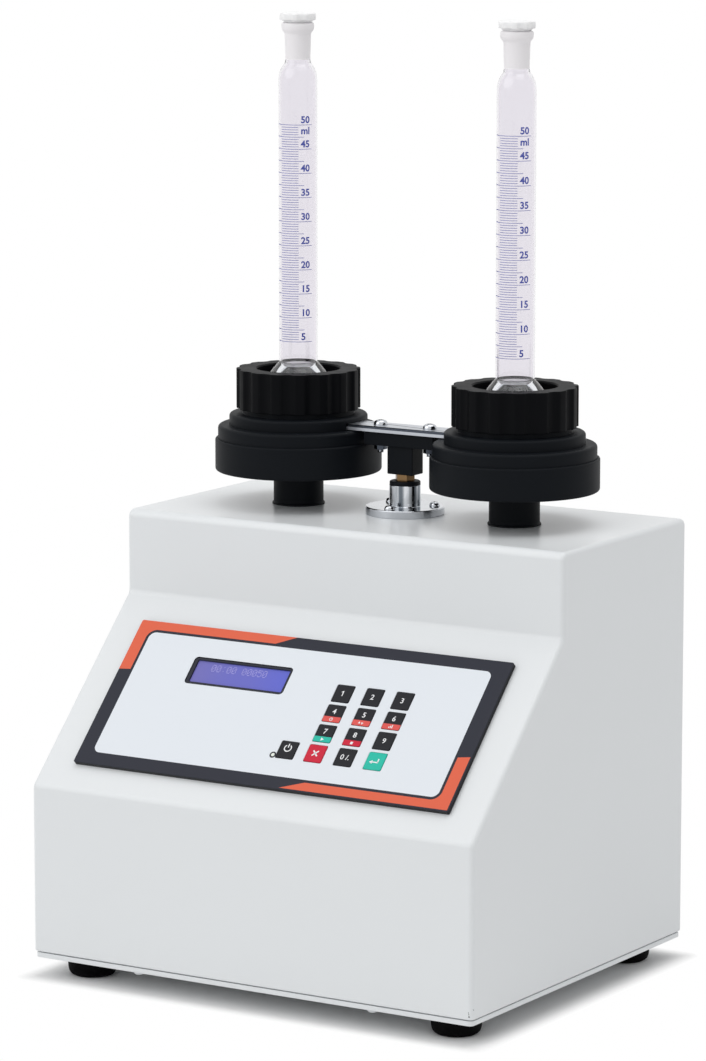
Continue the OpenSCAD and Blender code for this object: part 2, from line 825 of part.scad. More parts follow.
module mains_inlet() {
    socket_w = inlet_w - 2 * inlet_wall;
    socket_h = inlet_h - 2 * inlet_wall;
    floor_y = inlet_flange_t - socket_deep;
    color(BLACK_PLASTIC) translate([inlet_x, back_y, inlet_z]) {
        difference() {
            union() {
                block(
                    -inlet_flange_w / 2, inlet_flange_w / 2, 0, inlet_flange_t,
                    -inlet_flange_h / 2, inlet_flange_h / 2
                );
                block(-inlet_w / 2, inlet_w / 2, -inlet_deep, OVER, -inlet_h / 2, inlet_h / 2);
            }
            block(-socket_w / 2, socket_w / 2, floor_y, inlet_flange_t + OVER, -socket_h / 2, socket_h / 2);
            for (s = SIDES) translate([s * inlet_screw_step / 2, 0, 0])
                along_y(-OVER, inlet_flange_t + 2 * OVER) circle(d = inlet_screw_d + 2 * screw_gap);
        }
        // Two outer blades and the earth blade
        for (p = [[-blade_step, -blade_rise], [blade_step, -blade_rise], [0, blade_rise]])
            translate([p.x, 0, p.y])
                block(
                    -blade_t / 2, blade_t / 2, floor_y - OVER, inlet_flange_t - blade_set,
                    -blade_w / 2, blade_w / 2
                );
    }
}

module inlet_screws() {
    color(STEEL) translate([inlet_x, back_y + inlet_flange_t, inlet_z])
        for (s = SIDES) translate([s * inlet_screw_step / 2, 0, 0])
            rotate([-90, 0, 0]) dome_screw(inlet_screw_d, inlet_flange_t + sheet_t + screw_tail);
}

// Guides on the cover's top
module guide_bushes() {
    r = bush_d / 2;
    foot_r = r + bush_flare;
    color(BLACK_PLASTIC) at_stations() translate([0, 0, top_z]) difference() {
        rotate_extrude() polygon([
            [0, -sheet_t - spigot_h], [bush_spigot_d / 2, -sheet_t - spigot_h], [bush_spigot_d / 2, 0],
            [foot_r, 0], [foot_r, bush_flare], [r, 2 * bush_flare], [r, bush_h], [0, bush_h]
        ]);
        tube_between(shaft_d + 2 * running_gap, -sheet_t - spigot_h - OVER, bush_h + OVER);
    }
}

module bush_nuts() {
    color(STEEL) at_stations() translate([0, 0, top_z - sheet_t]) difference() {
        translate([0, 0, -bush_nut_t]) cylinder(d = bush_nut_d, h = bush_nut_t, $fn = HEX);
        tube_between(bush_spigot_d + 2 * screw_gap, -bush_nut_t - OVER, OVER);
    }
}

module guide_flange() {
    color(CHROME) translate([0, station_y, top_z]) difference() {
        union() {
            tube_between(flange_d, 0, flange_t);
            tube_between(guide_post_d, -sheet_t - spigot_h, guide_post_h);
        }
        tube_between(rod_d + 2 * running_gap, -sheet_t - spigot_h - OVER, guide_post_h + OVER);
        at_flange_screws() tube_between(flange_screw_d + 2 * screw_gap, -OVER, flange_t + OVER);
    }
}

module flange_screws() {
    color(CHROME) translate([0, station_y, top_z + flange_t])
        at_flange_screws() dome_screw(flange_screw_d, flange_t + sheet_t + screw_tail);
}

// Drive inside the housing
module at_bracket_screws() {
    for (sx = SIDES, y = [bracket_screw_inset, bracket_d - bracket_screw_inset])
        translate([sx * (bracket_w / 2 - bracket_screw_inset), bracket_y + bracket_t - y, 0]) children();
}
module at_motor_screws() {
    for (i = [0:3]) rotate([0, 45 + 90 * i, 0]) translate([motor_screw_pcd / 2, 0, 0]) children();
}

module motor_bracket() {
    color(STEEL) difference() {
        union() {
            block(
                -bracket_w / 2, bracket_w / 2, bracket_y, bracket_y + bracket_t,
                base_top, cam_z + bracket_over
            );
            block(
                -bracket_w / 2, bracket_w / 2, bracket_y + bracket_t - bracket_d, bracket_y + OVER,
                base_top, base_top + bracket_t
            );
        }
        translate([0, 0, cam_z]) {
            along_y(bracket_y - OVER, bracket_t + 2 * OVER) circle(d = motor_shaft_d + 2 * bracket_bore_gap);
            at_motor_screws()
                along_y(bracket_y - OVER, bracket_t + 2 * OVER) circle(d = drive_screw_d + 2 * screw_gap);
        }
        at_bracket_screws()
            tube_between(drive_screw_d + 2 * screw_gap, base_top - OVER, base_top + bracket_t + OVER);
    }
}

module drive_motor() {
    color("#5A5E63") translate([0, 0, cam_z]) difference() {
        union() {
            along_y(gearbox_y, gearbox_l) circle(d = gearbox_d);
            along_y(gearbox_y - motor_l, motor_l + OVER) circle(d = motor_d);
        }
        along_y(bracket_y - motor_shaft_in, motor_shaft_in + OVER)
            circle(d = motor_shaft_d + 2 * running_gap);
        at_motor_screws() along_y(bracket_y - motor_thread - screw_gap, motor_thread + screw_gap + OVER)
            circle(d = drive_screw_d + 2 * screw_gap);
    }
}

module drive_screws() {
    color(STEEL) {
        at_bracket_screws()
            translate([0, 0, base_top + bracket_t]) dome_screw(drive_screw_d, bracket_t + base_t);
        translate([0, 0, cam_z]) at_motor_screws()
            translate([0, bracket_y + bracket_t, 0]) rotate([-90, 0, 0])
                dome_screw(drive_screw_d, bracket_t + motor_thread);
    }
}

module motor_shaft() {
    front = bracket_y - motor_shaft_in + running_gap;
    color(STEEL) translate([0, 0, cam_z])
        along_y(front, station_y + cam_t / 2 + shaft_past - front) circle(d = motor_shaft_d);
}

module snail_cam() {
    color("#7C8084") translate([0, 0, cam_z]) difference() {
        union() {
            along_y(station_y - cam_t / 2, cam_t)
                polygon([for (t = [-CAM_LEAD:CAM_STEP:cam_sweep + CAM_LEAD]) cam_edge(t)]);
            along_y(hub_y, hub_l + OVER) circle(d = hub_d);
        }
        along_y(hub_y - OVER, hub_l + cam_t + 2 * OVER) circle(d = motor_shaft_d + 2 * running_gap);
        translate([0, hub_y + hub_l / 2, 0])
            rotate([180, 0, 0]) tube_between(set_screw_d + 2 * screw_gap, 0, hub_d);
    }
}

module cam_set_screw() {
    color(STEEL) translate([0, hub_y + hub_l / 2, cam_z])
        rotate([180, 0, 0]) tube_between(set_screw_d, motor_shaft_d / 2 + running_gap, hub_d / 2);
}

// Carriage
module cam_follower() {
    color(STEEL) translate([0, station_y, nose_z]) {
        along_y(-cam_t / 2, cam_t) circle(r = nose_r);
        tube_between(follower_d, 0, follower_l);
        tube_between(rod_end_d, 0, follower_l + rod_end_l);
    }
}

module lift_rod() {
    color(BRASS) translate([0, station_y, 0]) difference() {
        union() {
            tube_between(rod_d, rod_bottom, stem_z);
            tube_between(rod_end_d, stem_z - OVER, stem_z + rod_end_l);
        }
        tube_between(rod_end_d + 2 * screw_gap, rod_bottom - OVER, rod_bottom + rod_end_l + screw_gap);
    }
}

module guide_block() {
    color(BLACK_PLASTIC) translate([0, station_y, 0]) difference() {
        union() {
            flat_box(wing_l, wing_d, wing_z, collar_z);
            flat_box(stem_w, stem_d, stem_z, wing_z + OVER);
        }
        tube_between(rod_end_d + 2 * screw_gap, stem_z - OVER, stem_z + rod_end_l + screw_gap);
        at_link_screws() tube_between(link_screw_d + 2 * screw_gap, wing_z - OVER, collar_z + OVER);
    }
}

module at_link_screws() {
    for (s = SIDES) translate([s * link_screw_step / 2, 0, 0]) children();
}

module link_plate() {
    color(CHROME) translate([0, station_y, 0]) difference() {
        flat_box(link_l, link_w, collar_z, collar_z + link_t);
        at_link_screws()
            tube_between(link_screw_d + 2 * screw_gap, collar_z - OVER, collar_z + link_t + OVER);
    }
}

module link_screws() {
    color(CHROME) translate([0, station_y, collar_z + link_t])
        at_link_screws() dome_screw(link_screw_d, link_t + wing_h + link_screw_tail);
}

module link_nuts() {
    color(STEEL) translate([0, station_y, wing_z]) at_link_screws() difference() {
        translate([0, 0, -nut_t]) cylinder(d = 2 * link_screw_d, h = nut_t, $fn = HEX);
        tube_between(link_screw_d + 2 * screw_gap, -nut_t - OVER, OVER);
    }
}

module base_discs() {
    color(BLACK_PLASTIC) at_stations() difference() {
        tube_between(disc_d, disc_z, upper_disc_z);
        tube_between(shaft_d + 2 * screw_gap, disc_z - OVER, disc_z + shaft_seat);
        tube_between(holder_screw_d + 2 * screw_gap, disc_z, upper_disc_z + OVER);
    }
}

module upper_discs() {
    color(BLACK_PLASTIC) at_stations() difference() {
        tube_between(upper_disc_d, upper_disc_z, collar_z);
        tube_between(holder_screw_d + 2 * screw_gap, upper_disc_z - OVER, collar_z + OVER);
    }
}

module holder_cups() {
    slot_w = link_w + 2 * link_gap;
    slot_end = station_x - link_l / 2 - link_gap;
    color(BLACK_PLASTIC) for (s = SIDES) at_station(s) difference() {
        union() {
            tube_between(collar_d, collar_z, pad_z);
            tube_between(neck_d, pad_z - OVER, pad_z + neck_h);
        }
        tube_between(recess_d, pad_z, pad_z + neck_h + OVER);
        tube_between(holder_screw_d + 2 * screw_gap, collar_z - OVER, pad_z);
        tube_between(holder_head_d + 2 * screw_gap, pad_z - holder_head_h, pad_z + OVER);
        rotate(s > 0 ? 180 : 0)
            block(slot_end, collar_d, -slot_w / 2, slot_w / 2, collar_z - OVER, collar_z + link_t + link_gap);
    }
}

module holder_shafts() {
    tail_z = top_z - sheet_t - spigot_h - shaft_tail;
    seat_top = disc_z + shaft_seat;
    color(STEEL) at_stations() difference() {
        tube_between(shaft_d, tail_z, seat_top);
        tube_between(holder_screw_d + 2 * screw_gap, seat_top - holder_thread - OVER, seat_top + OVER);
    }
}

module holder_screws() {
    shank_z = disc_z + shaft_seat - holder_thread;
    color(STEEL) at_stations() {
        tube_between(holder_head_d, pad_z - holder_head_h, pad_z);
        tube_between(holder_screw_d, shank_z, pad_z);
    }
}

module seat_pads() {
    color(RUBBER) at_stations() tube_between(glass_foot_d, pad_z, glass_z);
}

// Clamp rings and seals
module clamp_ring(s) {
    r = ring_d / 2;
    color(BLACK_PLASTIC) at_station(s) difference() {
        tube_between(ring_d, ring_z, ring_z + ring_h);
        tube_between(ring_bore_d, ring_z - OVER, lip_z);
        tube_between(ring_hole_d, lip_z - OVER, ring_z + ring_h + OVER);
        for (i = [1:flutes]) rotate(360 * i / flutes) translate([r + flute_r - flute_deep, 0, 0])
            tube_between(2 * flute_r, ring_z - OVER, ring_z + ring_h + OVER);
    }
}

// The seal's underside follows the glass cone
module ring_seal(s) {
    inner = ring_hole_d / 2;
    outer = recess_d / 2 - cup_gap / 2;
    foot_r = glass_foot_d / 2;
    fall = cone_h / (foot_r - flare_d / 2);
    rim_top = glass_z + foot_rim_h + thread_gap;
    color(RUBBER) at_station(s) rotate_extrude() polygon([
        [inner, rim_top + (foot_r - inner) * fall], [foot_r, rim_top], [outer, rim_top],
        [outer, lip_z], [inner, lip_z]
    ]);
}

// Point i of the round shoulder, from a radius at the tube to one at the neck, h higher
function shoulder(tube_r, neck_r, h, i) =
    let (t = 90 * i / SHOULDER_STEPS)
    [neck_r + (tube_r - neck_r) * cos(t), shoulder_z + h * sin(t)];

// Stoppered glass cylinder on a hollow conical foot
module cylinder_glass(s) {
    foot_r = glass_foot_d / 2;
    tube_r = tube_d / 2;
    inner_r = tube_r - tube_wall;
    floor_z = tube_z - foot_wall;
    foot = [
        [foot_r - foot_wall, 0], [foot_r, 0], [foot_r, foot_rim_h], [flare_d / 2, cone_z],
        [tube_r + foot_ledge, tube_z], [tube_r, tube_z + foot_ledge / 2]
    ];
    neck = [
        [mouth_d / 2, throat_z + throat_h], [bead_d / 2, bead_z], [bead_d / 2, mouth_z], [mouth_r, mouth_z]
    ];
    bottom = [
        [inner_r, tube_z + tube_wall], [floor_d / 2, floor_z], [0, floor_z],
        [0, floor_z - foot_wall], [tube_r - foot_wall, floor_z - foot_wall],
        [flare_d / 2 - foot_wall, cone_z - foot_wall], [foot_r - foot_wall, foot_rim_h - foot_wall / 2]
    ];
    outside = [for (i = [0:SHOULDER_STEPS]) shoulder(tube_r, throat_d / 2, shoulder_h, i)];
    inside = [for (i = [SHOULDER_STEPS:-1:0]) shoulder(inner_r, throat_r, throat_in_z - shoulder_z, i)];
    color(GLASS, 0.4) at_station(s) translate([0, 0, glass_z])
        rotate_extrude() polygon(concat(foot, outside, neck, inside, bottom));
}

module stopper(s) {
    taper = (mouth_r - throat_r) / (mouth_z - throat_in_z);
    top_r = mouth_r - plug_gap;
    color("#D8DCDC") at_station(s) translate([0, 0, glass_z + mouth_z]) {
        translate([0, 0, -plug_h]) cylinder(r1 = top_r - taper * plug_h, r2 = top_r, h = plug_h);
        cylinder(d1 = stopper_neck_d, d2 = stopper_d * cos(180 / OCTAGON), h = stopper_taper_h);
        translate([0, 0, stopper_taper_h]) cylinder(d = stopper_d, h = stopper_h, $fn = OCTAGON);
    }
}

cover();
base_plate();
feet();
foot_screws();
base_screws();
panel_plate();
display_window();
display_module();
keypad_board();
dome_switches();
power_led();
control_board();
board_standoffs();
power_supply();
mains_inlet();
inlet_screws();
guide_bushes();
bush_nuts();
guide_flange();
flange_screws();
drive_motor();
motor_bracket();
drive_screws();
motor_shaft();
snail_cam();
cam_set_screw();
cam_follower();
lift_rod();
guide_block();
link_plate();
link_screws();
link_nuts();
base_discs();
upper_discs();
holder_cups();
holder_shafts();
holder_screws();
seat_pads();
cylinder_glass(-1);  // left_cylinder
cylinder_glass(1);  // right_cylinder
stopper(-1);  // left_stopper
stopper(1);  // right_stopper
ring_seal(-1);  // left_ring_seal
ring_seal(1);  // right_ring_seal
clamp_ring(-1);  // left_clamp_ring
clamp_ring(1);  // right_clamp_ring
for (k = KEYS) key_cap(k);
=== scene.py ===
import functools
from math import acos, asin, cos, pi, radians, sin, tan

import bmesh
import bpy
from bpy.props import FloatProperty, FloatVectorProperty, IntProperty, PointerProperty
from mathutils import Matrix, Vector


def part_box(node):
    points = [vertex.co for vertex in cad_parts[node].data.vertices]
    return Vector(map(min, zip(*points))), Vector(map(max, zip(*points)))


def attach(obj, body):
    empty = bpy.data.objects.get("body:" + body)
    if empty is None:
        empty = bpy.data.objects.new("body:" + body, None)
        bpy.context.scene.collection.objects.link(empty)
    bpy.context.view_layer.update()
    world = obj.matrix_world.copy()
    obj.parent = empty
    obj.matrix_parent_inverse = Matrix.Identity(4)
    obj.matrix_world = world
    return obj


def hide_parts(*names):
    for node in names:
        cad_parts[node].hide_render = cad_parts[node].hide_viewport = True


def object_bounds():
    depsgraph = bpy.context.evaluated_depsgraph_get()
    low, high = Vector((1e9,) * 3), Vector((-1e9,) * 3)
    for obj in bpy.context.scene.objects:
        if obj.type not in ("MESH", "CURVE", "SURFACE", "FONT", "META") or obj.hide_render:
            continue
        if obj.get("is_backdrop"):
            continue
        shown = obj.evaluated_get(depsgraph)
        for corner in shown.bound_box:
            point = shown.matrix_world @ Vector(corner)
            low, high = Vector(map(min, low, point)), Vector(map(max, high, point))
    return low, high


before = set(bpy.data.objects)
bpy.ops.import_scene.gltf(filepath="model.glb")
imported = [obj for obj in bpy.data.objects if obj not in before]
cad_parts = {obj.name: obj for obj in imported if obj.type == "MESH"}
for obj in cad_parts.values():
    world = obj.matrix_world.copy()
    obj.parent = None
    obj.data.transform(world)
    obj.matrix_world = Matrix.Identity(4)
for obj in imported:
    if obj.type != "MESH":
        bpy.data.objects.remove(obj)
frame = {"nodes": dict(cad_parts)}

bl_info = {
    "name": "Bulk density apparatus",
    "version": (1, 0, 0),
    "blender": (4, 5, 0),
    "location": "3D View > Sidebar > Apparatus",
    "description": "Dresses the tapping apparatus on its packed frame, piece by piece",
    "category": "Add Mesh",
}

# Pieces are modelled in millimetres in the CAD frame and turned to metres when they are finished
CAD_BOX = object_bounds()
SIDES = {"left": -1, "right": 1}


def span(node):
    """Lowest and highest corner of a CAD node, in millimetres."""
    return [1000 * Vector(corner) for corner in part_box(node)]


COVER_LOW, COVER_HIGH = span("cover")
BASE_LOW, BASE_HIGH = span("base_plate")
GLASS_LOW, GLASS_HIGH = span("right_cylinder")
RING_LOW, RING_HIGH = span("right_clamp_ring")
INLET_LOW, INLET_HIGH = span("mains_inlet")
ROD_LOW, ROD_HIGH = span("lift_rod")
STATION = (GLASS_LOW + GLASS_HIGH) / 2
TOP_Z = COVER_HIGH.z
DISC_Z, STEP_Z = span("base_discs")[0].z, span("upper_discs")[0].z
COLLAR_Z, CUP_Z = [corner.z for corner in span("holder_cups")]
STEM_Z, LINK_TOP = span("guide_block")[0].z, span("link_plate")[1].z
TUBE_RADIUS = 11.5
PRINT_LIFT = 0.03  # Prints stand this far off what carries them
WAVE = 2 * pi / 20  # Length after which a wave pattern of scale 1 repeats

# Places on the front panel, across and up from the middle of its lower edge
PANEL_WIDTH, PANEL_HEIGHT, PANEL_THICKNESS = 255, 103, 3
DISPLAY = (-45.3, 72.3)
FIRST_KEY = (28.4, 26.4)
LAMP = (1.4, 22.1)
# Openings in the cover behind the panel: middle, size, and how far out and how long its posts are
OPENINGS = (
    (DISPLAY, (81, 37), (37.5, 15.5), 6.5),
    ((38.4, 47.4), (84, 73), (37.5, 33.5), 2.8),
)
# Column and row of each key, seen from the operator
KEYS = {f"key_{n}": ((n - 1) % 3, 3 - (n - 1) // 3) for n in range(1, 10)}
KEYS |= {"key_cancel": (0, 0), "key_0": (1, 0), "key_enter": (2, 0), "key_power": (-0.95, 0)}
# Colours of a key and of its strip where they aren't the usual ones, and the slot for each colour
KEY_COLOURS = {"key_cancel": ("stop", "tag"), "key_enter": ("go", "tag"),
               "key_7": ("key", "go"), "key_8": ("key", "stop")}
KEY_SLOTS = {"key": "key_black", "stop": "key_red", "go": "key_teal"}
# Dots of the numerals on the display, one row of bits after the other
DOT_ROWS = {
    "0": (14, 17, 19, 21, 25, 17, 14),
    "5": (31, 16, 30, 1, 1, 17, 14),
    ":": (0, 4, 0, 0, 0, 4, 0),
    " ": (0, 0, 0, 0, 0, 0, 0),
}


def linear(code):
    """Linear colour of an sRGB hex code, with full alpha."""
    parts = [int(code[i:i + 2], 16) / 255 for i in (1, 3, 5)]
    return (*[c / 12.92 if c <= 0.04045 else ((c + 0.055) / 1.055) ** 2.4 for c in parts], 1)


def length(name, text, default):
    """Property for a length that a user may change."""
    return FloatProperty(name=name, description=text, default=default, unit="LENGTH", precision=5)


def colour(name, text, code):
    """Property for a colour that a user may change."""
    return FloatVectorProperty(name=name, description=text, default=linear(code)[:3],
                               subtype="COLOR", min=0, max=1)


class ConsoleSizes(bpy.types.PropertyGroup):
    """Sizes of the console"""
    front_height: length("Front height", "Height of the lower front up to the slope", 0.1)
    slope_run: length("Slope run", "Depth and rise of the sloped front", 0.1)
    sheet: length("Sheet", "Thickness of the cover's sheet", 0.0015)
    bend_radius: length("Bend radius", "Outer radius of the bends", 0.005)
    edge_radius: length("Edge radius", "Radius of the cover's side edges", 0.003)
    panel_low: length("Panel foot", "Distance up the slope to the panel's lower edge", 0.0177)
    key_width: length("Key width", "Side of a key", 0.0117)
    key_step_x: length("Key step across", "Distance between key columns", 0.02)
    key_step_v: length("Key step up", "Distance between key rows", 0.014)
    letter_height: length("Letter height", "Height of the numbers on the keys", 0.0035)


class StationSizes(bpy.types.PropertyGroup):
    """Sizes of the two stations"""
    rounding: length("Turned edge", "Rounding of the turned edges", 0.0012)
    flutes: IntProperty(name="Flutes", description="Flutes round a clamp ring",
                        default=16, min=8, max=32)
    flute_radius: length("Flute radius", "Radius of a flute", 0.006)
    flute_depth: length("Flute depth", "Depth of a flute", 0.0019)
    line_width: length("Line width", "Width of a graduation line", 0.0003)
    first_line: length("First line", "Height of the 5 ml line above the bench", 0.3643)
    ml_step: length("Step for 1 ml", "Height that 1 ml takes in the tube", 0.002873)
    number_height: length("Number height", "Height of the numbers on the glass", 0.0043)


class FinishColours(bpy.types.PropertyGroup):
    """Colours of the finishes"""
    coat: colour("Coat", "Powder coat of cover and base", "#E3E6E8")
    field: colour("Field", "Pale field of the panel print", "#E1E6EC")
    frame: colour("Frame", "Dark border of the panel print", "#262833")
    accent: colour("Accent", "Accent corners of the panel print", "#DE6549")
    acetal: colour("Acetal", "Turned black plastic", "#0D1014")
    grip: colour("Grip", "Moulded black plastic of the rings", "#06070A")
    key: colour("Key", "Number keys", "#15161D")
    stop: colour("Stop key", "Key that cancels", "#D0213C")
    go: colour("Go key", "Key that confirms", "#2AC0AA")
    tag: colour("Tag", "Strips on the keys with a second use", "#E15A55")
    print: colour("Key print", "Numbers and signs on the keys", "#F2F3F5")
    display: colour("Display", "Lit display, near its lamp", "#5C64C6")
    display_end: colour("Display end", "Lit display, far from its lamp", "#706CAC")
    dots: colour("Dots", "Dots of the numerals on the display", "#A19DDE")
    ink: colour("Ink", "Graduations on the glass", "#4652AC")
    plug: colour("Stopper", "Stoppers", "#F6F6F7")


class StageSettings(bpy.types.PropertyGroup):
    """Camera and light"""
    azimuth: FloatProperty(name="Azimuth", description="Camera's turn round the object",
                           default=radians(32.03), subtype="ANGLE")
    elevation: FloatProperty(name="Elevation", description="Camera's angle above the bench",
                             default=radians(9.38), subtype="ANGLE")
    distance: length("Distance", "From the camera to its target", 2.867)
    target: FloatVectorProperty(name="Target", description="Point that the camera looks at",
                                default=(-0.00328, -0.003, 0.26224), subtype="XYZ", unit="LENGTH")
    lens: FloatProperty(name="Lens", description="Focal length in millimetres", default=166.27)
    ambient: FloatProperty(name="Ambient", description="Level of the light from all round",
                           default=0.59, min=0)


def mm(size):
    """A length property in millimetres."""
    return 1000 * size


def console():
    """Sizes of the console, as the scene holds them."""
    return bpy.context.scene.apparatus_console


def station():
    """Sizes of the stations, as the scene holds them."""
    return bpy.context.scene.apparatus_station


def hue(name):
    """One of the finish colours, with full alpha."""
    return (*getattr(bpy.context.scene.apparatus_colours, name), 1)


# Places

def at(x=0.0, y=0.0, z=0.0):
    """Shift to a place."""
    return Matrix.Translation((x, y, z))


def tilt(degrees, axis="Z"):
    """Turn about an axis."""
    return Matrix.Rotation(radians(degrees), 4, axis)


def slope():
    """Frame of the sloped front: X across, Y up the slope, Z out of it."""
    return at(0, COVER_LOW.y, COVER_LOW.z + mm(console().front_height)) @ tilt(45, "X")


def on_panel(x, v):
    """Place on the slope of a place on the panel."""
    return x, mm(console().panel_low) + v


def key_place(name):
    """Middle of a key on the slope."""
    column, row = KEYS[name]
    sizes = console()
    return on_panel(FIRST_KEY[0] + column * mm(sizes.key_step_x),
                    FIRST_KEY[1] + row * mm(sizes.key_step_v))


def inlet_place():
    """Frame of the mains inlet: X across, Y down, Z out of the back."""
    middle = (INLET_LOW + INLET_HIGH) / 2
    return at(middle.x, COVER_HIGH.y, middle.z) @ tilt(-90, "X")


# Shapes

def closed(bm):
    """Merge doubles and point the faces outwards."""
    bmesh.ops.remove_doubles(bm, verts=bm.verts, dist=1e-4)
    bmesh.ops.recalc_face_normals(bm, faces=bm.faces)
    return bm


def rounded(bm, geom, radius, steps, affect="VERTICES"):
    """Bevel corners or edges to a radius."""
    bmesh.ops.bevel(bm, geom=geom, offset=radius, offset_type="OFFSET", segments=steps,
                    profile=0.5, affect=affect, material=-1)
    return bm


def swept(bm, geom, angle, steps, centre=(0, 0, 0)):
    """Spin corners and edges about an upright axis. A full turn closes on itself."""
    bmesh.ops.spin(bm, geom=geom, cent=centre, axis=(0, 0, 1), angle=angle, steps=steps,
                   use_merge=angle == 2 * pi)
    return bm


def turned(points, steps=96):
    """Turn an outline of (radius, height) or (radius, height, rounding) about Z.

    It may start and end on the axis.
    """
    bm = bmesh.new()
    verts = [bm.verts.new((p[0], 0, p[1])) for p in points]
    on_axis = points[0][0] == points[-1][0] == 0
    for a, b in zip(verts, verts[1:] if on_axis else verts[1:] + verts[:1]):
        bm.edges.new((a, b))
    for vert, point in zip(verts, points):
        if len(point) > 2:
            rounded(bm, [vert], point[2], 4)
    return closed(swept(bm, bm.verts[:] + bm.edges[:], 2 * pi, steps))


def raised(bm, way):
    """Pull the flat faces of a bmesh along a way into a solid."""
    top = bmesh.ops.extrude_face_region(bm, geom=bm.faces[:])["geom"]
    bmesh.ops.translate(bm, vec=way, verts=[v for v in top if isinstance(v, bmesh.types.BMVert)])
    return closed(bm)


def flat(width, depth, z=0.0, corner=0.0):
    """Flat rectangle about the origin, with round corners."""
    bm = bmesh.new()
    bmesh.ops.create_grid(bm, x_segments=1, y_segments=1, size=0.5,
                          matrix=at(z=z) @ Matrix.Diagonal((width, depth, 1, 1)))
    return rounded(bm, bm.verts[:], corner, 6) if corner else bm


def plate(width, depth, low, high, corner=0.0, soft=0.0):
    """Plate about the origin from low to high, with round corners and softened edges."""
    bm = raised(flat(width, depth, low, corner), (0, 0, high - low))
    return soften(bm, soft) if soft else bm


def soften(bm, radius, steps=3, chosen=lambda edge: True):
    """Round the sharp edges of a solid."""
    edges = [e for e in bm.edges if e.calc_face_angle(0) > radians(40) and chosen(e)]
    return rounded(bm, edges, radius, steps, "EDGES")


def above(z):
    """Choice of the edges that lie above a height."""
    return lambda edge: all(v.co.z > z for v in edge.verts)


def rod(diameter, low, high, sides=48):
    """Plain bar about Z, for cutting bores."""
    bm = bmesh.new()
    bmesh.ops.create_cone(bm, cap_ends=True, segments=sides, radius1=diameter / 2,
                          radius2=diameter / 2, depth=high - low, matrix=at(z=(low + high) / 2))
    return bm


def placed(bm, matrix):
    """Move a bmesh by a matrix."""
    bmesh.ops.transform(bm, matrix=matrix, verts=bm.verts)
    return bm


def moved(bm, x=0.0, y=0.0, z=0.0):
    """Shift a bmesh."""
    return placed(bm, at(x, y, z))


def joined(*parts):
    """One bmesh from several, which keep their material numbers."""
    whole = bmesh.new()
    for part in parts:
        mesh = bpy.data.meshes.new("joining")
        part.to_mesh(mesh)
        part.free()
        whole.from_mesh(mesh)
        bpy.data.meshes.remove(mesh)
    return whole


def copies(bm, matrices):
    """One bmesh with a copy of bm at each matrix."""
    whole = joined(*[placed(bm.copy(), m) for m in matrices])
    bm.free()
    return whole


def at_stations(bm):
    """The same solid at both stations."""
    return copies(bm, [at(s * STATION.x, STATION.y) for s in SIDES.values()])


def inked(bm, number):
    """Give all faces of a bmesh one material number."""
    for face in bm.faces:
        face.material_index = number
    return bm


def as_object(name, bm):
    """Put a bmesh into the scene as an object."""
    mesh = bpy.data.meshes.new(name)
    bm.to_mesh(mesh)
    bm.free()
    thing = bpy.data.objects.new(name, mesh)
    bpy.context.scene.collection.objects.link(thing)
    return thing


def cut(bm, *cutters):
    """Take the cutters out of a solid."""
    solid = as_object("solid", bm)
    tools = [as_object("cutter", closed(c)) for c in cutters]
    for tool in tools:
        step = solid.modifiers.new("cut", "BOOLEAN")
        step.operation, step.solver, step.object = "DIFFERENCE", "EXACT", tool
    result = bmesh.new()
    result.from_object(solid, bpy.context.evaluated_depsgraph_get())
    for thing in [solid, *tools]:
        bpy.data.meshes.remove(thing.data)
    return result


def lettering(words, height, side="CENTER", bold=0.012):
    """Flat letters in XY about the origin, or from it to the right, as high as given."""
    curve = bpy.data.curves.new("letters", "FONT")
    curve.body = words
    curve.align_x = side
    curve.offset = bold
    curve.resolution_u = 4
    thing = bpy.data.objects.new("letters", curve)
    bpy.context.scene.collection.objects.link(thing)
    depsgraph = bpy.context.evaluated_depsgraph_get()
    mesh = bpy.data.meshes.new_from_object(thing.evaluated_get(depsgraph))
    bm = bmesh.new()
    bm.from_mesh(mesh)
    bpy.data.meshes.remove(mesh)
    bpy.data.curves.remove(curve)
    low, high = [f(v.co.y for v in bm.verts) for f in (min, max)]
    bmesh.ops.translate(bm, vec=(0, -(low + high) / 2, 0), verts=bm.verts)
    bmesh.ops.scale(bm, vec=(height / (high - low),) * 3, verts=bm.verts)
    return bm


def arc(radius, width, start, turn, y=0.0):
    """Flat band of a circle in XY, angles in degrees."""
    bm = bmesh.new()
    way = Vector((cos(radians(start)), sin(radians(start)), 0))
    ends = [bm.verts.new(r * way) for r in (radius - width / 2, radius + width / 2)]
    return moved(swept(bm, [*ends, bm.edges.new(ends)], radians(turn), 24), y=y)


def bar(x, y, width, height, turn=0.0):
    """Flat bar of a printed sign, turned about its middle."""
    return placed(flat(width, height), at(x, y) @ tilt(turn))


def arrow_head(x, y, radius, turn):
    """Flat triangle of a printed sign."""
    bm = bmesh.new()
    bmesh.ops.create_circle(bm, cap_ends=True, segments=3, radius=radius)
    return placed(bm, at(x, y) @ tilt(turn))


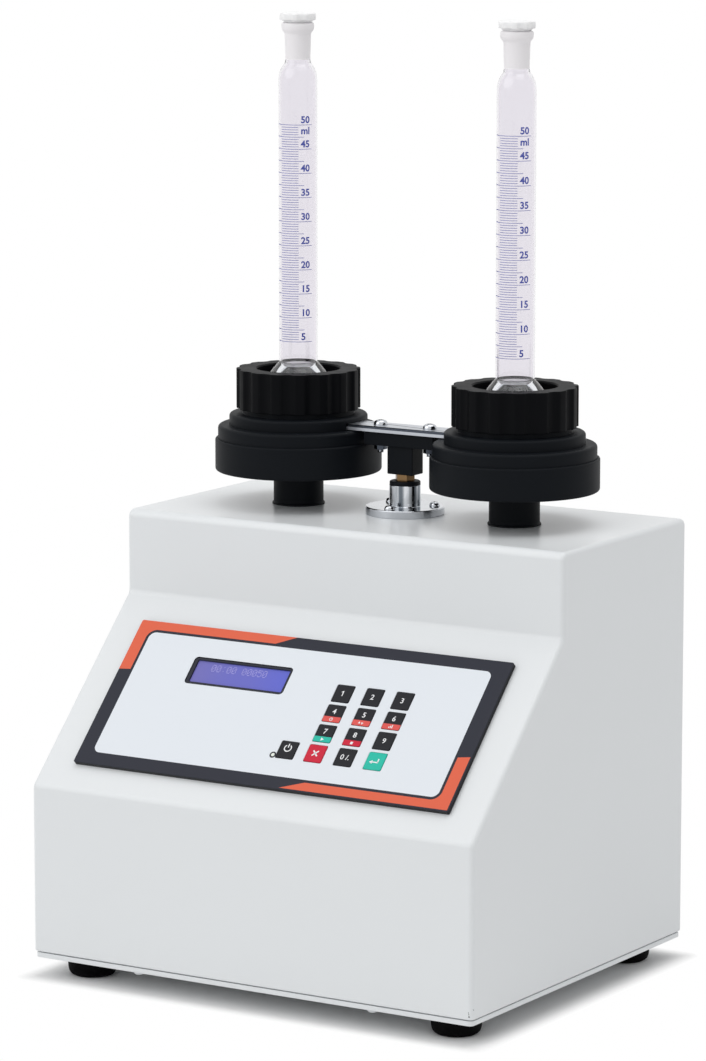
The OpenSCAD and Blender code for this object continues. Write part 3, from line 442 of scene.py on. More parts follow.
def fluted(count, radius, scoop_radius, depth, low, high, rim):
    """Grip from low to high with scooped flutes all round and rounded rims."""
    reach = radius + scoop_radius - depth
    half = acos((radius ** 2 + reach ** 2 - scoop_radius ** 2) / (2 * radius * reach))
    scoop = 2 * asin(radius * sin(half) / scoop_radius)
    bm = bmesh.new()
    for i in range(count):
        a = 2 * pi * i / count
        for start, angle, centre in (
            (a - half, -scoop, (reach * cos(a), reach * sin(a), low)),
            (a + half, 2 * pi / count - 2 * half, (0, 0, low)),
        ):
            vert = bm.verts.new((radius * cos(start), radius * sin(start), low))
            swept(bm, [vert], angle, 6, centre)
    bmesh.ops.remove_doubles(bm, verts=bm.verts, dist=1e-3)
    rounded(bm, [v for v in bm.verts if v.calc_edge_angle(0) > radians(20)], depth / 2, 3)
    bmesh.ops.contextual_create(bm, geom=bm.edges[:])
    raised(bm, (0, 0, high - low))
    return soften(bm, rim, 3, lambda e: any(abs(f.normal.z) > 0.9 for f in e.link_faces))


def pan_screw(diameter, shank, thread=0.0, head=0.9):
    """Screw with a cross recess, its head above z = 0, and thread ridges at its shank's end."""
    head_r, head_h, r = head * diameter, 0.7 * diameter, diameter / 2
    pitch, groove = 0.18 * diameter, 0.1 * diameter
    ridges = [(r - groove * (i % 2), thread - shank - i * pitch / 2)
              for i in range(int(2 * thread / pitch))]
    bm = turned([(0, head_h), (head_r, head_h, 0.85 * head_h), (head_r, 0), (r, 0), *ridges,
                 (r, -shank), (0, -shank)], 32)
    reach, wide, slot_z = 1.1 * diameter, 0.24 * diameter, 0.45 * head_h
    return cut(bm, *[moved(plate(w, d, 0, head_h), z=slot_z)
                     for w, d in ((reach, wide), (wide, reach))])


def hex_nut(across, height, bore):
    """Nut below z = 0 with chamfered corners."""
    bm = bmesh.new()
    bmesh.ops.create_circle(bm, cap_ends=True, segments=6, radius=across / 2, matrix=at(z=-height))
    return cut(soften(raised(bm, (0, 0, height)), 0.25, 2), rod(bore, -height - 1, 1))


def wrapped(bm, radius, turn, z):
    """Roll a flat drawing in XY round a tube about Z, its start at an angle in degrees."""
    for vert in bm.verts:
        x, y, out = vert.co
        angle = radians(turn) + x / radius
        vert.co = ((radius + out) * cos(angle), (radius + out) * sin(angle), z + y)
    return bm


def piece(name, bm, materials, body, replaces=(), slot=None):
    """Finish a piece: merge, shade, scale to metres, and hang it on its body."""
    closed(bm)
    bmesh.ops.scale(bm, vec=(0.001,) * 3, verts=bm.verts)
    for edge in bm.edges:
        edge.smooth = edge.calc_face_angle(0) < radians(35)
    for face in bm.faces:
        face.smooth = True
    thing = as_object(name, bm)
    for material in materials:
        thing.data.materials.append(material)
    thing.modifiers.new("even_shading", "WEIGHTED_NORMAL").keep_sharp = True
    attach(thing, body)
    if replaces:
        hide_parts(*replaces)


def dress(material, *nodes):
    """Give CAD nodes that keep their shape a material."""
    for node in nodes:
        for place in frame["nodes"][node].material_slots:
            place.link, place.material = "OBJECT", material


# Materials

def socket(sockets, key):
    """A socket that a node's settings leave in use, by its name or its place among them."""
    used = [s for s in sockets if s.enabled]
    return used[key] if isinstance(key, int) else next(s for s in used if s.name == key)


def add(owner, kind, inputs=None, output=0, **settings):
    """Add one node with its settings, give its inputs values or links, and return one output."""
    tree = owner.node_tree
    node = tree.nodes.new("ShaderNode" + kind)
    for key, value in settings.items():
        setattr(node, key, value)
    for key, value in (inputs or {}).items():
        if isinstance(value, bpy.types.NodeSocket):
            tree.links.new(value, socket(node.inputs, key))
        else:
            socket(node.inputs, key).default_value = value
    return socket(node.outputs, output)


def surface(name, **inputs):
    """Start a material with constants on its shader, and give its Object coordinates."""
    material = bpy.data.materials.new(name)
    material.use_nodes = True
    shader = material.node_tree.nodes["Principled BSDF"]
    for key, value in inputs.items():
        shader.inputs[key.replace("_", " ")].default_value = value
    return material, add(material, "TexCoord", output="Object")


def join(material, **links):
    """Link outputs to the inputs of a material's shader."""
    tree = material.node_tree
    for key, output in links.items():
        tree.links.new(output, tree.nodes["Principled BSDF"].inputs[key.replace("_", " ")])
    return material


def finished(material, tone=None, gloss=None, relief=None):
    """Finish a surface with what is given, each after its own pattern.

    A tone is a pattern and two colours, a gloss a pattern and two roughnesses, and a relief a
    pattern, its strength and its height in metres.
    """
    links = {}
    if tone:
        inputs = dict(zip(("Factor", "A", "B"), tone))
        links["Base_Color"] = add(material, "Mix", inputs, data_type="RGBA")
    if gloss:
        inputs = dict(zip(("Value", "To Min", "To Max"), gloss))
        links["Roughness"] = add(material, "MapRange", inputs)
    if relief:
        inputs = dict(zip(("Height", "Strength", "Distance"), relief))
        links["Normal"] = add(material, "Bump", inputs)
    return join(material, **links)


def distance_from(owner, place, middle, half):
    """Distance of a place from a rectangle about a middle, given by half its size."""
    for operation, *value in (("SUBTRACT", middle), ("ABSOLUTE",), ("SUBTRACT", half),
                              ("MAXIMUM", (0, 0, 0)), ("LENGTH",)):
        place = add(owner, "VectorMath", dict(enumerate((place, *value))), operation=operation)
    return place


def per_mm(size):
    """Texture scale at which a pattern repeats about every so many millimetres."""
    return 1000 / size


def shade(code, level):
    """A colour at another level, for the second tone of a finish."""
    return (*[c * level for c in code[:3]], 1)


@functools.cache
def powder_coat():
    """Polyester powder coat, sprayed and baked on steel: an orange peel of about 6 mm softens its
    reflections."""
    coat, where = surface("powder_coat_baked")
    peel = add(coat, "TexNoise", {"Vector": where, "Scale": per_mm(6), "Detail": 1.0})
    cloud = add(coat, "TexNoise", {"Vector": where, "Scale": per_mm(70), "Detail": 3.0})
    tone = add(coat, "Mix", {"Factor": cloud, "A": hue("coat"), "B": shade(hue("coat"), 0.985)},
               data_type="RGBA")
    # Chips show grey primer, a millimetre or two wide, at the front corner that gets knocked
    corner = Vector((COVER_HIGH.x, COVER_LOW.y, COVER_LOW.z + 3)) / 1000
    reach = add(coat, "VectorMath", {0: where, 1: corner}, operation="DISTANCE")
    near = add(coat, "MapRange", {"Value": reach, "From Min": 0.002, "From Max": 0.012,
                                  "To Min": 0.58, "To Max": 0.95})
    grit = add(coat, "TexNoise", {"Vector": where, "Scale": per_mm(3), "Detail": 3.0})
    chip = add(coat, "Math", {0: grit, 1: near}, operation="GREATER_THAN")
    primer = linear("#77797C")
    return finished(coat, (chip, tone, primer), (cloud, 0.27, 0.31), (peel, 0.03, 0.0003))


@functools.cache
def panel_print():
    """Screen print under a satin polyester film: hard-edged colours, and a film grain drawn 0.8 mm
    wide so that it shows."""
    film, where = surface("polyester_overlay_printed", Specular_IOR_Level=0.2)
    local = add(film, "Mapping", {"Vector": where, "Location": slope().to_translation() / 1000,
                                  "Rotation": (radians(45), 0, 0)}, vector_type="TEXTURE")
    drawn = add(film, "VectorMath", {0: local, 1: (1000, 1000, 0)}, operation="MULTIPLY")
    x = add(film, "SeparateXYZ", {0: drawn})
    height = add(film, "SeparateXYZ", {0: local}, "Z")
    # The field is a rectangle of 234.6 by 86.8 mm with corners of 4.4 mm
    corner, margin, face_height = 4.4, 6.2, 0.0027
    edge = distance_from(film, drawn, (-0.4, 69.4, 0), (112.9, 39.0, 0))
    known = {"x": x, "v": x.node.outputs["Y"], "height": height, "edge": edge}
    # The accent fills two opposite corners, each ended by slanted cuts, and leaves a dark line
    # along the lower and the right edge. Each row works on numbers and on the rows before it.
    for name, operation, *values in (
        ("face", "GREATER_THAN", "height", face_height),
        ("field", "LESS_THAN", "edge", corner),
        ("pale", "MULTIPLY", "field", "face"),
        ("border", "GREATER_THAN", "edge", margin),
        ("clear", "MULTIPLY", "border", "face"),
        ("upper_slant", "MULTIPLY_ADD", "v", -2.15, "x"),
        ("upper_cut", "LESS_THAN", "upper_slant", -277.4),
        ("upper_tilt", "MULTIPLY_ADD", "x", -0.09, "v"),
        ("upper_end", "GREATER_THAN", "upper_tilt", 96.2),
        ("upper", "MULTIPLY", "upper_cut", "upper_end"),
        ("lower_slant", "MULTIPLY_ADD", "v", -2.75, "x"),
        ("lower_cut", "GREATER_THAN", "lower_slant", -36.5),
        ("lower_tilt", "MULTIPLY_ADD", "x", -0.16, "v"),
        ("lower_end", "LESS_THAN", "lower_tilt", 34.7),
        ("lower_fill", "MULTIPLY", "lower_cut", "lower_end"),
        ("above", "GREATER_THAN", "v", 18.7),
        ("inside", "LESS_THAN", "x", 126.5),
        ("kept", "MULTIPLY", "above", "inside"),
        ("lower", "MULTIPLY", "lower_fill", "kept"),
        ("either", "MAXIMUM", "upper", "lower"),
        ("accent", "MULTIPLY", "either", "clear"),
    ):
        inputs = {i: known.get(value, value) for i, value in enumerate(values)}
        known[name] = add(film, "Math", inputs, operation=operation)
    dark = add(film, "Mix", {"Factor": known["accent"], "A": hue("frame"), "B": hue("accent")},
               data_type="RGBA")
    whole = add(film, "Mix", {"Factor": known["pale"], "A": dark, "B": hue("field")},
                data_type="RGBA")
    grain = add(film, "TexNoise", {"Vector": where, "Scale": per_mm(0.8), "Detail": 2.0})
    tone = known["face"], shade(hue("frame"), 0.25), whole
    return finished(film, tone, (grain, 0.3, 0.46), (grain, 0.06, 0.0001))


@functools.cache
def turned_acetal():
    """Black acetal, turned: lathe rings about the station axis, drawn 0.8 mm apart so that they
    show."""
    acetal, where = surface("acetal_turned", Specular_IOR_Level=0.08)
    axis = Vector((STATION.x, STATION.y, 0)) / 1000
    fold = add(acetal, "VectorMath", {0: where}, operation="ABSOLUTE")
    centred = add(acetal, "VectorMath", {0: fold, 1: axis}, operation="SUBTRACT")
    level = add(acetal, "VectorMath", {0: centred, 1: (1, 1, 0.6)}, operation="MULTIPLY")
    rings = add(acetal, "TexWave", {"Vector": level, "Scale": per_mm(0.8) * WAVE, "Distortion": 0.4,
                                    "Detail": 1.0},
                "Fac", wave_type="RINGS", rings_direction="SPHERICAL")
    dust = add(acetal, "TexNoise", {"Vector": where, "Scale": per_mm(25), "Detail": 4.0})
    tones = hue("acetal"), shade(hue("acetal"), 1.35)
    return finished(acetal, (dust, *tones), (dust, 0.44, 0.60), (rings, 0.05, 0.0001))


@functools.cache
def milled_acetal():
    """Black acetal, milled: straight cutter marks about 1 mm apart along the block."""
    acetal, where = surface("acetal_milled", Specular_IOR_Level=0.08)
    marks = add(acetal, "TexWave", {"Vector": where, "Scale": per_mm(1) * WAVE, "Distortion": 0.6,
                                    "Detail": 1.0}, "Fac", bands_direction="Z")
    dust = add(acetal, "TexNoise", {"Vector": where, "Scale": per_mm(12), "Detail": 3.0})
    tones = hue("acetal"), shade(hue("acetal"), 1.3)
    return finished(acetal, (dust, *tones), (dust, 0.44, 0.60), (marks, 0.04, 0.0001))


@functools.cache
def bright_metal(name, code, rough, along=(1, 1, 1), grain=0.5):
    """Metal with the marks of its making, as lines where the pattern is drawn out along an axis.

    The grain is the marks' width in millimetres, drawn coarser than it is where it has to show.
    """
    metal, where = surface(name, Metallic=1.0)
    drawn = add(metal, "VectorMath", {0: where, 1: along}, operation="MULTIPLY")
    marks = add(metal, "TexNoise", {"Vector": drawn, "Scale": per_mm(grain), "Detail": 3.0})
    stain = add(metal, "TexNoise", {"Vector": where, "Scale": per_mm(9), "Detail": 3.0})
    tone, gloss = (stain, linear(code), shade(linear(code), 0.8)), (marks, 0.7 * rough, 1.4 * rough)
    return finished(metal, tone, gloss, (marks, 0.03, 0.0001))


def chrome_plate():
    """Chrome plate on turned brass, buffed: bright, with faint hazing."""
    return bright_metal("chrome_plate_buffed", "#C6C9CE", 0.12, grain=1.5)


def brushed_steel():
    """Stainless strip, brushed along its length: lines drawn 0.3 mm apart."""
    return bright_metal("stainless_strip_brushed", "#C3C7CE", 0.3, (0.02, 1, 1), 0.3)


def zinc_steel():
    """Zinc-plated steel: a dull bluish grey with a fine crystal mottling."""
    return bright_metal("zinc_plated_steel", "#84888C", 0.32, grain=0.9)


def turned_brass():
    """Brass bar, turned: rings across its length, drawn 0.4 mm apart."""
    return bright_metal("brass_turned", "#866B4B", 0.3, (0.1, 0.1, 1), 0.4)


def ground_steel():
    """Hardened steel, ground: dark, with lines across it drawn 0.4 mm apart. On the link strip's
    chamfer it is a painted dark reflection.
    """
    return bright_metal("steel_ground_and_painted_reflection", "#4A4F58", 0.26, (1, 0.05, 1), 0.4)


def folded_aluminium():
    """Aluminium sheet, rolled and folded: satin, with the rolling lines drawn 0.5 mm apart."""
    return bright_metal("aluminium_rolled", "#A2A6AA", 0.36, (1, 0.03, 1), 0.5)


@functools.cache
def polished_bar():
    """Stainless bar, polished along its length: painted reflections, as bright and dark streaks
    about 5 mm wide.
    """
    steel, where = surface("stainless_bar_painted_reflections", Metallic=1.0)
    drawn = add(steel, "VectorMath", {0: where, 1: (1, 1, 0.03)}, operation="MULTIPLY")
    painted_reflection_streak = add(steel, "TexNoise", {"Vector": drawn, "Scale": per_mm(5), "Detail": 2.0})
    painted_reflection_band = add(steel, "MapRange", {"Value": painted_reflection_streak, "From Min": 0.4, "From Max": 0.6})
    return finished(steel, (painted_reflection_band, linear("#6B7279"), linear("#D5D8DC")), (painted_reflection_band, 0.18, 0.1))


@functools.cache
def moulded(name, code, rough, grain=0.6, height=0.05, shine=0.5):
    """Moulded plastic or rubber, with the grain that the mould was etched or blasted with.

    The grain, in millimetres, is drawn coarser than it is so that it shows.
    """
    plastic, where = surface(name, Specular_IOR_Level=shine)
    pits = add(plastic, "TexNoise", {"Vector": where, "Scale": per_mm(grain), "Detail": 2.0})
    haze = add(plastic, "TexNoise", {"Vector": where, "Scale": per_mm(8), "Detail": 3.0})
    tone, gloss = (haze, code, shade(code, 0.88)), (haze, 0.85 * rough, 1.15 * rough)
    return finished(plastic, tone, gloss, (pits, height, 0.0002))


def moulded_acetal():
    """Black acetal, moulded: a deep black, duller than the turned discs."""
    return moulded("acetal_moulded", hue("grip"), 0.5, shine=0.06)


def rubber():
    """Nitrile rubber, moulded: black and dull, with a fine grain."""
    return moulded("nitrile_rubber_moulded", linear("#060607"), 0.66, 0.8, 0.2, 0.06)


def key_film(part):
    """Polycarbonate key cap, moulded and gloss lacquered: a faint grain under the shine."""
    return moulded("polycarbonate_key_" + part, hue(part), 0.3, shine=0.2)


def inlet_plastic():
    """Glass-filled nylon, moulded in an etched mould: black and matt."""
    return moulded("nylon_moulded", linear("#131415"), 0.5, 0.7, 0.18, 0.2)


def ink_print(part):
    """Screen ink: flat and opaque, with a little grain."""
    return moulded("screen_ink_" + part, hue(part), 0.5, 0.4, shine=0.2)


def fired_ink():
    """Ceramic ink, screen printed and fired into the glass: a satin blue with a little grain."""
    return moulded("ceramic_ink_fired", hue("ink"), 0.4, 0.3, 0.1)


def motor_enamel():
    """Stoved enamel on a steel motor case: dark grey satin with a little orange peel."""
    return moulded("stoved_enamel", linear("#4C5055"), 0.4, 1.5, 0.06)


def led_lens():
    """Epoxy lamp, cast milky: pale and smooth, and dull while it is off."""
    return moulded("epoxy_lamp_cast", linear("#E9F0E6"), 0.2, 2.0, 0.02)


@functools.cache
def drawn_glass():
    """Borosilicate tube, drawn and flame-worked: clear, a little grey in depth, with slow ripples
    14 mm long."""
    glass, where = surface("borosilicate_drawn", Transmission_Weight=1.0, IOR=1.473,
                           Base_Color=linear("#F1EFF3"))
    ripple = add(glass, "TexNoise", {"Vector": where, "Scale": per_mm(14), "Detail": 1.0})
    return finished(glass, gloss=(ripple, 0.0, 0.03), relief=(ripple, 0.02, 0.0005))


@functools.cache
def ground_glass():
    """Borosilicate joint, ground with grit: a milky grey, with the lines of the grinding about 0.6
    mm apart. On the ceiling of the cylinder's hollow foot the same milky grey is painted light."""
    glass, where = surface("borosilicate_ground_and_painted_light", Transmission_Weight=0.08, IOR=1.473)
    lines = add(glass, "TexWave", {"Vector": where, "Scale": per_mm(0.6) * WAVE, "Distortion": 1.5,
                                   "Detail": 2.0}, "Fac", bands_direction="Z")
    return finished(glass, (lines, linear("#FBF9FB"), linear("#F5F2F5")), (lines, 0.45, 0.6))


@functools.cache
def pressed_glass():
    """Borosilicate foot, pressed in a mould: clear, with a soft haze from the mould's skin, about
    5 mm wide."""
    glass, where = surface("borosilicate_pressed", Transmission_Weight=1.0, IOR=1.473,
                           Base_Color=linear("#EDEFF3"))
    skin = add(glass, "TexNoise", {"Vector": where, "Scale": per_mm(5), "Detail": 2.0})
    return finished(glass, gloss=(skin, 0.03, 0.08))


@functools.cache
def stopper_plastic():
    """Polyethylene, moulded: milky, soft at the edges, with faint flow marks about 4 mm long."""
    plastic, where = surface("polyethylene_moulded", Subsurface_Weight=0.4, Subsurface_Scale=0.003,
                             Subsurface_Radius=(1, 1, 1))
    flow = add(plastic, "TexNoise", {"Vector": where, "Scale": per_mm(4), "Detail": 3.0,
                                     "Distortion": 1.0})
    tones = hue("plug"), shade(hue("plug"), 0.93)
    return finished(plastic, (flow, *tones), (flow, 0.28, 0.42), (flow, 0.05, 0.0003))


@functools.cache
def lit_display():
    """Liquid crystal behind glass, lit from one end: clear blue there, and greyer in clouds of
    30 mm towards the other."""
    display, where = surface("liquid_crystal_lit", Roughness=0.12, Emission_Strength=0.12,
                             Specular_IOR_Level=0.2)
    cloud = add(display, "TexNoise", {"Vector": where, "Scale": per_mm(30), "Detail": 1.0})
    across = add(display, "SeparateXYZ", {0: where}, "X")
    fall = add(display, "MapRange", {"Value": across, "From Min": -0.078, "From Max": -0.012})
    share = add(display, "Mix", {"Factor": 0.3, "A": fall, "B": cloud})
    tone = add(display, "Mix", {"Factor": share, "A": hue("display_end"), "B": hue("display")},
               data_type="RGBA")
    return join(display, Base_Color=tone, Emission_Color=tone)


@functools.cache
def circuit_laminate():
    """Glass-epoxy board under green solder mask: copper tracks 1.3 mm apart show through as a
    lighter green."""
    board, where = surface("glass_epoxy_masked", Roughness=0.35)
    tracks = add(board, "TexBrick", {
        "Vector": where, "Color1": linear("#1F6B3A"), "Color2": linear("#1A5C32"),
        "Mortar": linear("#2E8449"), "Scale": per_mm(1), "Mortar Size": 0.3, "Brick Width": 9.0,
        "Row Height": 1.3})
    join(board, Base_Color=tracks)
    return finished(board, relief=(tracks.node.outputs["Fac"], 0.2, 0.0001))


def plain_rays(owner):
    """1 for rays that show the background itself: from the camera, and through gloss and glass."""
    rays = add(owner, "LightPath", None, "Is Camera Ray")
    path = rays.node
    for kind in ("Is Glossy Ray", "Is Transmission Ray"):
        rays = add(owner, "Math", {0: rays, 1: path.outputs[kind]}, operation="MAXIMUM")
    return rays


def studio_paper():
    """Paper pulled from a roll: matt, with soft clouds of 25 mm.

    It keeps the shadow under the object and close to it, and is plain white further out.
    """
    paper, where = surface("paper_sweep", Roughness=0.9)
    cloud = add(paper, "TexNoise", {"Vector": where, "Scale": per_mm(25)})
    finished(paper, (cloud, linear("#F7F7F7"), linear("#F3F3F3")))
    reach = distance_from(paper, where, (0, 0, 0), Vector((BASE_HIGH.x, BASE_HIGH.y, 0)) / 1000)
    white = add(paper, "MapRange", {"Value": reach, "From Max": 0.01})
    share = add(paper, "Math", {0: plain_rays(paper), 1: white}, operation="MULTIPLY")
    glow = add(paper, "Emission", {"Color": (1, 1, 1, 1), "Strength": 1.0})
    nodes = paper.node_tree.nodes
    both = add(paper, "MixShader", {0: share, 1: nodes["Principled BSDF"].outputs[0], 2: glow})
    paper.node_tree.links.new(both, nodes["Material Output"].inputs["Surface"])
    return paper


# Operators

class APPARATUS_OT_cover(bpy.types.Operator):
    """Bend the sheet cover and cut its windows and bores"""
    bl_idname = "apparatus.cover"
    bl_label = "Cover"

    def block(self, inset):
        """Solid with the cover's side view, drawn in by an inset."""
        sizes = console()
        run, half = mm(sizes.slope_run), COVER_HIGH.x - inset
        low, high = COVER_LOW.z + inset, TOP_Z - inset
        front, back = COVER_LOW.y + inset, COVER_HIGH.y - inset
        edge, bent = mm(sizes.edge_radius) - inset, mm(sizes.bend_radius) - inset
        half_bend = tan(radians(22.5))
        knee = COVER_LOW.z + mm(sizes.front_height) - inset * half_bend
        outline = [
            (front, low, 0), (front, knee, bent * half_bend),
            (front + run, knee + run, bent * half_bend), (front + run, high, bent),
            (back, high, edge + 1), (back, low, 0),
        ]
        bm = bmesh.new()
        verts = [bm.verts.new((-half, y, z)) for y, z, _ in outline]
        bm.faces.new(verts)
        for vert, (_, _, offset) in zip(verts, outline):
            if offset:
                rounded(bm, [vert], offset, 6)
        raised(bm, (2 * half, 0, 0))
        lowest = low + 0.01
        soften(bm, edge, 4, lambda e: any(abs(f.normal.x) > 0.9 for f in e.link_faces)
               and any(v.co.z > lowest for v in e.verts))
        return soften(bm, 0.4 * edge, 3, lambda e: all(v.co.z < lowest for v in e.verts))

    def execute(self, context):
        rim, through = 16, (-3, 1)
        mouth = plate(2 * (COVER_HIGH.x - rim), COVER_HIGH.y - COVER_LOW.y - 2 * rim,
                      COVER_LOW.z - 1, COVER_LOW.z + 3)
        windows = [placed(moved(plate(*size, *through), *on_panel(*middle)), slope())
                   for middle, size, *_ in OPENINGS]
        bush_bores = at_stations(moved(rod(25, *through), z=TOP_Z))
        guide_bore = moved(rod(19.8, *through), y=STATION.y, z=TOP_Z)
        inlet = placed(plate(28.4, 20.8, *through), inlet_place())
        cover = cut(self.block(0), self.block(mm(console().sheet)), mouth, *windows, bush_bores,
                    guide_bore, inlet)
        piece("console_cover", cover, [powder_coat()], "housing", ["cover"], "white_paint")
        return {"FINISHED"}


class APPARATUS_OT_base(bpy.types.Operator):
    """Make the base plate, its feet and their screws"""
    bl_idname = "apparatus.base"
    bl_label = "Base and feet"

    def execute(self, context):
        setback, seat = 0.7, 6
        size = BASE_HIGH - BASE_LOW
        bottom = plate(size.x - 2 * setback, size.y - 2 * setback, BASE_LOW.z, BASE_HIGH.z, 3, 0.5)
        feet = [at(x, y) for x in (-125, 125) for y in (-98, 98)]
        screws = [at(x, y, BASE_LOW.z) for x in (-80, 80) for y in (-115, 115)]
        bottom = cut(bottom, copies(rod(5.2, 0, 30), feet), copies(rod(4.2, -5, 30), screws))
        piece("base_sheet", bottom, [powder_coat()], "housing", ["base_plate"], "white_paint")
        foot = turned([(2.6, 12), (13.6, 12, 0.8), (15, 7, 3), (13.4, 0, 3), (6, 0, 0.8),
                       (6, seat, 0.3), (2.6, seat)], 64)
        piece("rubber_feet", copies(foot, feet), [rubber()], "housing", ["feet"], "rubber")
        in_feet = [m @ at(z=seat) for m in feet]
        for name, node, finish, screw, places in (
            ("foot_fixings", "foot_screws", zinc_steel(), pan_screw(5, 9.5), in_feet),
            ("base_fixings", "base_screws", powder_coat(), pan_screw(4, 8), screws),
        ):
            head_down = copies(screw, [m @ tilt(180, "X") for m in places])
            piece(name, head_down, [finish], "housing", [node], "zinc_steel")
        return {"FINISHED"}


class APPARATUS_OT_panel(bpy.types.Operator):
    """Make the printed front panel with its windows"""
    bl_idname = "apparatus.panel"
    bl_label = "Front panel"

    def execute(self, context):
        through = (-1, PANEL_THICKNESS + 1)
        sheet = plate(PANEL_WIDTH, PANEL_HEIGHT, 0, PANEL_THICKNESS, 1.0, 0.3)
        hole = mm(console().key_width) + 0.6
        holes = [moved(plate(hole, hole, *through, 1.0), *key_place(k)) for k in KEYS]
        display = moved(plate(68.6, 19.2, *through, 2.6), *on_panel(*DISPLAY))
        lamp = moved(rod(3.2, *through), *on_panel(*LAMP))
        sheet = cut(moved(sheet, *on_panel(0, PANEL_HEIGHT / 2)), joined(*holes), display, lamp)
        posts = [moved(rod(5, -long, 0), *on_panel(x + i * out, v + j * up))
                 for (x, v), _, (out, up), long in OPENINGS for i in (-1, 1) for j in (-1, 1)]
        whole = placed(joined(sheet, *posts), slope())
        piece("front_panel", whole, [panel_print()], "housing", ["panel_plate"], "panel_black")
        return {"FINISHED"}


class APPARATUS_OT_display(bpy.types.Operator):
    """Make the display window with its dots"""
    bl_idname = "apparatus.display"
    bl_label = "Display"

    def execute(self, context):
        shift, pane_z = 0.4, 1.65
        dot_step, row_step, sign_step, first_x, first_v = 0.6, 0.7, 3.55, -20.7, 5.7
        window = moved(plate(64.2, 15.6, 1.6, 4, 0.4), shift)
        bezel = cut(plate(68, 18.6, 0, 2.6, 2.4, 0.25), window)
        pane = inked(moved(plate(64.1, 15.5, 1.4, pane_z), shift), 1)
        dots = [
            (first_x + place * sign_step + column * dot_step, first_v - row * row_step)
            for place, sign in enumerate("00:00 00050")
            for row, bits in enumerate(DOT_ROWS[sign])
            for column in range(5) if bits >> (4 - column) & 1
        ]
        lit = [inked(moved(flat(0.52, 0.62, pane_z + PRINT_LIFT), x, v), 2) for x, v in dots]
        whole = placed(moved(joined(bezel, pane, *lit), *on_panel(*DISPLAY)), slope())
        finish = [key_film("frame"), lit_display(), ink_print("dots")]
        piece("display_glass", whole, finish, "housing", ["display_window"], "display_blue")
        return {"FINISHED"}


class APPARATUS_OT_keys(bpy.types.Operator):
    """Make the keys with their numbers and signs"""
    bl_idname = "apparatus.keys"
    bl_label = "Keys"
    # Signs in the middle of a key, and the small ones on its strip: shape, then its place and sizes
    signs = {
        "key_1": [(bar, -0.55, 1.2, 1.3, 0.5, 40)],
        "key_cancel": [(bar, 0, 0, 5, 0.9, 45), (bar, 0, 0, 5, 0.9, -45)],
        "key_enter": [(bar, 0.2, -0.8, 4.2, 0.8), (bar, 2.0, 0.4, 0.8, 2.6),
                      (arrow_head, -2.2, -0.8, 1.4, 90)],
        "key_power": [(arc, 2.2, 0.7, 125, 290, 1.1), (bar, 0, 2.8, 0.7, 2.6)],
    }
    strip_signs = {
        "key_4": [(arc, 1.0, 0.3, 0, 360), (bar, 0, 0.3, 0.25, 0.8), (bar, 0.25, 0, 0.7, 0.25)],
        "key_5": [(arrow_head, -1.0, 0.1, 0.9, 0), (arrow_head, 1.0, -0.1, 0.9, 180)],
        "key_6": [(bar, -1.0, -0.4, 0.6, 1.0), (bar, 0, -0.1, 0.6, 1.6), (bar, 1.0, 0.2, 0.6, 2.2)],
        "key_7": [(arrow_head, 0, 0, 1.3, -90)],
        "key_8": [(bar, 0, 0, 1.7, 1.7)],
    }

    def execute(self, context):
        sizes = console()
        width, foot, top = mm(sizes.key_width), -1.1, PANEL_THICKNESS + 0.4
        strip_v, flange = 3.6 - width / 2, width + 1.6
        for name in KEYS:
            cap = soften(plate(width, width, foot, top, 0.8), 0.4, 3, above(PANEL_THICKNESS))
            signs, small = [[draw(*values) for draw, *values in table.get(name, ())]
                            for table in (self.signs, self.strip_signs)]
            if name[-1].isdigit():
                number = "0 /." if name == "key_0" else name[-1]
                signs.insert(0, lettering(number, mm(sizes.letter_height)))
            if small:
                bmesh.ops.bisect_plane(cap, geom=cap.verts[:] + cap.edges[:] + cap.faces[:],
                                       plane_co=(0, strip_v, 0), plane_no=(0, 1, 0))
                for face in cap.faces:
                    if face.calc_center_median().y < strip_v and face.normal.z > 0.2:
                        face.material_index = 2
            groups = (signs, 1.4 if small else 0), (small, strip_v - 1.9)
            printed = [inked(moved(sign, y=y, z=top + PRINT_LIFT), 1)
                       for group, y in groups for sign in group]
            whole = joined(cap, plate(flange, flange, foot, -0.3), *printed)
            whole = placed(moved(whole, *key_place(name)), slope())
            tint, strip = KEY_COLOURS.get(name, ("key", "tag"))
            finish = [key_film(tint), ink_print("print"), key_film(strip)]
            piece(name + "_cap", whole, finish, name, [name], KEY_SLOTS[tint])
        return {"FINISHED"}


class APPARATUS_OT_lamp(bpy.types.Operator):
    """Make the power light"""
    bl_idname = "apparatus.lamp"
    bl_label = "Power light"

    def execute(self, context):
        lens = turned([(0, 3.25), (1.2, 3.25, 0.3), (1.2, 2.9), (1.5, 2.9), (1.5, 0), (1, 0),
                       (1, -2.8), (0, -2.8)], 32)
        ring = inked(turned([(1.22, 3.0), (2.1, 3.0), (2.1, 3.1, 0.05), (1.22, 3.1)], 32), 1)
        whole = placed(moved(joined(lens, ring), *on_panel(*LAMP)), slope())
        finish = [led_lens(), key_film("frame")]
        piece("power_light", whole, finish, "housing", ["power_led"], "led_green")
        return {"FINISHED"}


